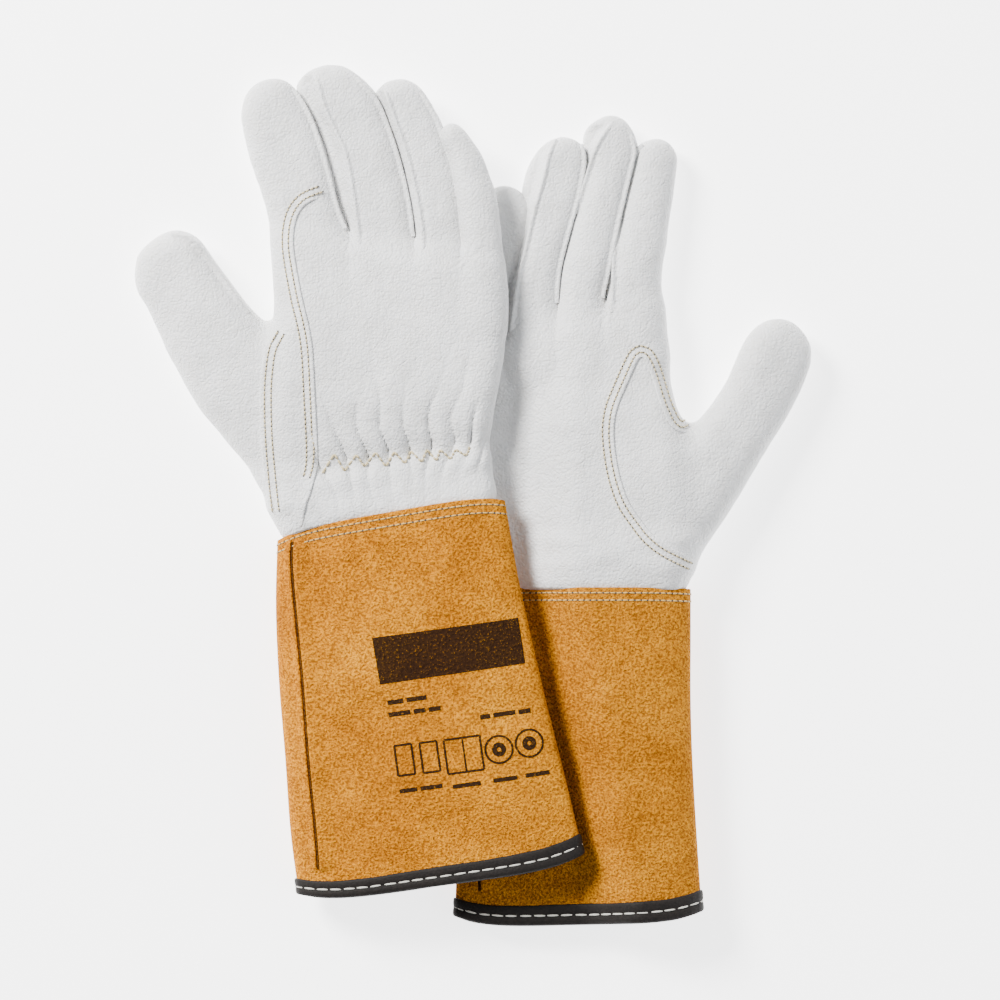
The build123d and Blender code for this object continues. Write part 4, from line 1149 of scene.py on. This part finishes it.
def even_turns(name, d, count):
    """Turns u spaced evenly by length round the cuff at d."""
    u = np.linspace(0, 1, 721)
    p = cuff_surface(name, u, np.full_like(u, d))
    s = np.concatenate([[0], np.cumsum(np.linalg.norm(np.diff(p, axis=0), axis=1))])
    t = np.linspace(0, s[-1], count, endpoint=False)
    return np.interp(t, s, u), s[-1]


def build_cuff(name):
    c = CUFFS[name]
    top = c["length"]
    nu = c["around"] // (2 if QUICK else 1)
    nd = c["along"] // (2 if QUICK else 1)
    u, _ = even_turns(name, top / 2, nu)
    d = np.linspace(1.0, top, nd)
    U, D = np.meshgrid(u, d, indexing="ij")
    p, n, t = cuff_frame(name, U, D)
    # the outer face of the wall, and the inner face one wall's thickness in
    outer = p
    inner = p - n * SUEDE_WALL
    # rounded raw edge at the top
    rim_p, rim_n, rim_t = cuff_frame(name, u, np.full_like(u, top))
    rim = [rim_p - rim_n * (SUEDE_WALL / 2 - SUEDE_WALL / 2 * math.cos(a)) - rim_t * 0.45 * math.sin(a) for a in np.linspace(0, math.pi, 7)[1:-1]]
    column = np.concatenate([outer, np.stack(rim, 1), inner[:, ::-1]], 1)
    m = column.shape[1]
    obj = make(f"{name}_cuff_leather", column.reshape(-1, 3), grid_faces(nu, m, flip=True), c["material"])
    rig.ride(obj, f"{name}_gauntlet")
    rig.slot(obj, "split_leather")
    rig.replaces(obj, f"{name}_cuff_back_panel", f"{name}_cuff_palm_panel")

    # hem binding: a tape folded over the edge
    shape = [(7.2, 0.05), (7.15, 0.5), (6.9, 0.82), (6.2, 0.98), (5.2, 1.02), (4.2, 0.98), (3.6, 0.80), (3.2, 0.72), (2.8, 0.80), (2.2, 0.98), (1.2, 1.05), (0.4, 1.02),
             (-0.2, 0.80), (-0.65, 0.35), (-0.85, -0.3), (-0.9, -0.9), (-0.85, -1.5), (-0.65, -2.1), (-0.2, -2.55), (0.5, -2.78), (2.2, -2.8), (4.0, -2.75), (6.2, -2.78), (6.9, -2.6), (7.15, -2.2), (7.2, -1.8)]
    count = 420 // (2 if QUICK else 1)
    ub, around = even_turns(name, 3.0, count)
    cols = []
    for k, (dist, off) in enumerate(shape):
        dd = np.full_like(ub, max(dist, 0.0))
        bp, bn, bt = cuff_frame(name, ub, dd)
        arc = ub * 400
        wob = 0.10 * wave(arc, arc * 0 + k * 0.3, 6.0, 77) + 0.06 * wave(arc, arc * 0 + k * 0.5, 2.3, 78)
        q = bp + bn * (off + wob * (1 if off > 0.3 or off < -2.2 else 0.3))[:, None] if isinstance(wob, np.ndarray) else bp + bn * off
        if dist < 0:
            q = q + bt * (-dist + 0.05 * wave(arc, arc * 0, 9.0, 79))[:, None]
        if dist > 6.5:
            q = q + bt * (0.12 * wave(arc, arc * 0, 11.0, 80))[:, None]
        cols.append(q)
    cols = np.stack(cols, 1)
    binding = make(f"{name}_hem_binding_tape", cols.reshape(-1, 3), grid_faces(count, len(shape)), M_BIND)
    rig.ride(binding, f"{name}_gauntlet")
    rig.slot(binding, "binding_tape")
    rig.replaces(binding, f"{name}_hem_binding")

    def ring_row(dist, off, pitch, length, radius, lift, seed, inside=False):
        uu, _ = even_turns(name, dist, 700)
        bp, bn, _ = cuff_frame(name, uu, np.full_like(uu, dist))
        if inside:
            return row_of(bp - bn * (SUEDE_WALL + off), -bn, pitch, length, radius, lift, seed, closed=True)
        return row_of(bp + bn * off, bn, pitch, length, radius, lift, seed, closed=True)

    v1, f1, _ = ring_row(3.2, 0.80, 5.8, 4.7, 0.42, 0.16, 41)
    v2, f2, _ = ring_row(3.2, 0.98, 5.8, 4.7, 0.42, 0.16, 43, inside=True)
    hem = make(f"{name}_hem_rows", *stack([(v1, f1), (v2, f2)]), M_WHITE)
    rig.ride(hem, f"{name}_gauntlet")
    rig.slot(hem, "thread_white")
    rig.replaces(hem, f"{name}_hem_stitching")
    rows, marks = [], []
    for i, dist in enumerate((1.9, 5.1)):
        v, f, h = ring_row(top - dist, 0.05, 2.65, 2.05, 0.36, 0.2, 51 + i)
        rows.append((v, f))
        marks.append(h)
    obj = make(f"{name}_cuff_rows", *stack(rows), M_TAN)
    # the needle-hole discs carry the painted shade of the holes
    dots = make(f"{name}_cuff_rows_holes", *stack([pits(p, n, 0.45) for p, n in marks]), M_HOLE_PAINTED_SHADE)
    for o in (obj, dots):
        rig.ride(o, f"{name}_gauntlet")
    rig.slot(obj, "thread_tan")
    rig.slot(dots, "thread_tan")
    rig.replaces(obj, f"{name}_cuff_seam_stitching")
    verts = p.reshape(-1, 3)
    tree = BVHTree.FromPolygons([tuple(q) for q in verts], [tuple(int(i) for i in f) for f in grid_faces(nu, nd, flip=True)])
    c["tree"] = tree


build_cuff("lower")
build_cuff("upper")

CUFF_LIP = [(-9.0, -0.3), (-6.5, 0.1), (-4.0, 0.65), (-2.2, 1.2), (-1.0, 1.5), (-0.4, 1.55), (-0.1, 1.35), (0.0, 0.9), (0.05, 0.1), (0.7, -0.15), (1.35, 0.1), (1.4, 0.6), (1.5, 0.85), (1.9, 0.95), (2.8, 0.7), (4.0, 0.25), (5.2, -0.3)]
CUFF_GAP = [(-0.1, 0.02), (0.3, 0.12), (0.7, 0.16), (1.1, 0.12), (1.5, 0.02)]


def cuff_seam(name, points):
    obj = strip(f"{name}_cuff_wrap_lip", CUFFS[name]["tree"], curve(points), CUFF_LIP, CUFFS[name]["material"], taper=2)
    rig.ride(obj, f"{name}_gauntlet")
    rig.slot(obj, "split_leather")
    # the gap strip lies in the groove and carries its painted shade
    gap = strip(f"{name}_cuff_seam_gap", CUFFS[name]["tree"], curve(points), CUFF_GAP, M_GAP, taper=2)
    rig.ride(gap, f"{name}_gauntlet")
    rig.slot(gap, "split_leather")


cuff_seam("upper", [(295, 538), (294, 560), (296, 590), (299, 620), (302, 650), (305, 680), (311, 760), (318, 830), (321, 872)])
cuff_seam("lower", [(481, 598), (481, 650), (481, 720), (481, 790), (481, 850), (481, 897)])


# ------------------------------------------------------------------ plain printed marks on the upper cuff
def patch(corners, n, m, lift=0.10):
    """A thin sheet over the quadrilateral corners, settled on the upper cuff."""
    a, b, c, d = mm(corners)
    tree = CUFFS["upper"]["tree"]
    v = []
    for i in range(n + 1):
        for j in range(m + 1):
            s, t = i / n, j / m
            q = (a * (1 - s) + b * s) * (1 - t) + (d * (1 - s) + c * s) * t
            p, nor = drop(tree, q[0], q[1])
            v.append(p + nor * lift)
    f = []
    for i in range(n):
        for j in range(m):
            k = i * (m + 1) + j
            f.append((k, k + 1, k + m + 2, k + m + 1))
    return np.array(v), np.array(f)


def bar(x, y, w, h, tilt=-8.0):
    a = math.radians(tilt)
    ca, sa = math.cos(a), math.sin(a)
    return [(x + dx * ca - dy * sa, y + dx * sa + dy * ca) for dx, dy in ((0, 0), (w, 0), (w, h), (0, h))]


def line(x0, y0, x1, y1, w):
    dx, dy = x1 - x0, y1 - y0
    n = math.hypot(dx, dy)
    px, py = -dy / n * w / 2, dx / n * w / 2
    return [(x0 + px, y0 + py), (x1 + px, y1 + py), (x1 - px, y1 - py), (x0 - px, y0 - py)]


marks = [patch([(373, 637), (518, 617), (525, 662), (381, 683)], 60, 18)]
main_print = make("upper_cuff_printed_band", *stack(marks), M_INK)
small = []
for x, y, w in ((388, 699, 16), (407, 696, 20), (389, 711, 22), (414, 707.5, 12), (429, 705.5, 12), (480, 713, 10), (493, 711, 22), (518, 708, 12)):
    small.append(patch(bar(x, y, w, 4.6), 8, 2))
for x, y, w in ((400, 787, 18), (421, 784, 22), (453, 782, 28), (493, 776, 24), (525, 771, 24)):
    small.append(patch(bar(x, y, w, 4.2), 8, 2))


def ring_mark(cx, cy, r, w, squash=1.0, sides=28):
    for k in range(sides):
        a0, a1 = 2 * math.pi * k / sides, 2 * math.pi * (k + 1) / sides
        q = [(cx + (r + o) * math.cos(a), cy + (r + o) * math.sin(a) * squash) for o, a in ((-w / 2, a0), (-w / 2, a1), (w / 2, a1), (w / 2, a0))]
        small.append(patch(q, 1, 1))


def outline_mark(points, w=2.2):
    for a, b in zip(points, points[1:] + points[:1]):
        small.append(patch(line(*a, *b, w), 10, 1))


outline_mark(bar(395, 744, 17, 30))
outline_mark(bar(420, 741, 17, 30))
outline_mark(bar(444, 738, 36, 34))
small.append(patch(line(462.5, 737, 467, 769, 1.8), 10, 1))
ring_mark(499, 747, 13.5, 2.2)
ring_mark(529, 741, 13.5, 2.2)
ring_mark(499, 747, 4.5, 5.0)
ring_mark(529, 741, 4.5, 5.0)
fine_print = make("upper_cuff_printed_marks", *stack(small), M_INK2)
for o in (main_print, fine_print):
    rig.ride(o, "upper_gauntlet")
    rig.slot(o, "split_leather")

# ------------------------------------------------------------------ floor, light and camera
m, t, bsdf, coord = nodes_of("pale_floor")
grainy = texture(t, coord.outputs["Object"], "noise", 6.0, Detail=2.0)
t.links.new(ramp(t, grainy.outputs[0], [(0.3, (0.94, 0.94, 0.94)), (0.7, (0.95, 0.95, 0.95))]), bsdf.inputs["Base Color"])
bsdf.inputs["Roughness"].default_value = 0.9
bsdf.inputs["Specular IOR Level"].default_value = 0.1
bsdf.inputs["Emission Color"].default_value = (1, 1, 1, 1)
bsdf.inputs["Emission Strength"].default_value = 3.2
mesh = bpy.data.meshes.new("floor")
mesh.from_pydata([(-4, -4, 0), (4, -4, 0), (4, 4, 0), (-4, 4, 0)], [], [(0, 1, 2, 3)])
mesh.materials.append(m)
floor = bpy.data.objects.new("floor", mesh)
bpy.context.scene.collection.objects.link(floor)
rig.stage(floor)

world = bpy.data.worlds.new("studio")
bpy.context.scene.world = world
world.use_nodes = True
world.node_tree.nodes["Background"].inputs[0].default_value = (0.93, 0.96, 1.0, 1)
world.node_tree.nodes["Background"].inputs[1].default_value = 0.34


def area(name, place, size, power, colour=(1, 1, 1)):
    light = bpy.data.lights.new(name, "AREA")
    light.shape = "SQUARE"
    light.size = size
    light.energy = power
    light.color = colour
    obj = bpy.data.objects.new(name, light)
    obj.location = place
    obj.rotation_euler = (Vector((0, 0, 0)) - Vector(place)).to_track_quat("-Z", "Y").to_euler()
    bpy.context.scene.collection.objects.link(obj)


area("key", (-1.25, 1.1, 1.3), 0.7, 152.0, (1.0, 0.99, 0.975))
area("fill", (1.7, -0.2, 1.0), 1.6, 30.0, (0.95, 0.97, 1.0))

camera = bpy.data.cameras.new("camera")
camera.lens = 120
camera.sensor_width = 36
camera.clip_start = 0.01
eye = bpy.data.objects.new("camera", camera)
eye.location = (0.01134 + SHIFT[0] / 1000, -0.00021 + SHIFT[1] / 1000, 1.42)
eye.rotation_euler = (0, 0, 0)
bpy.context.scene.collection.objects.link(eye)
bpy.context.scene.camera = eye

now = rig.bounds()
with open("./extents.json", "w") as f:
    json.dump({"cad": [[float(c) for c in corner] for corner in cad_box], "visual": [[float(c) for c in corner] for corner in now]}, f)
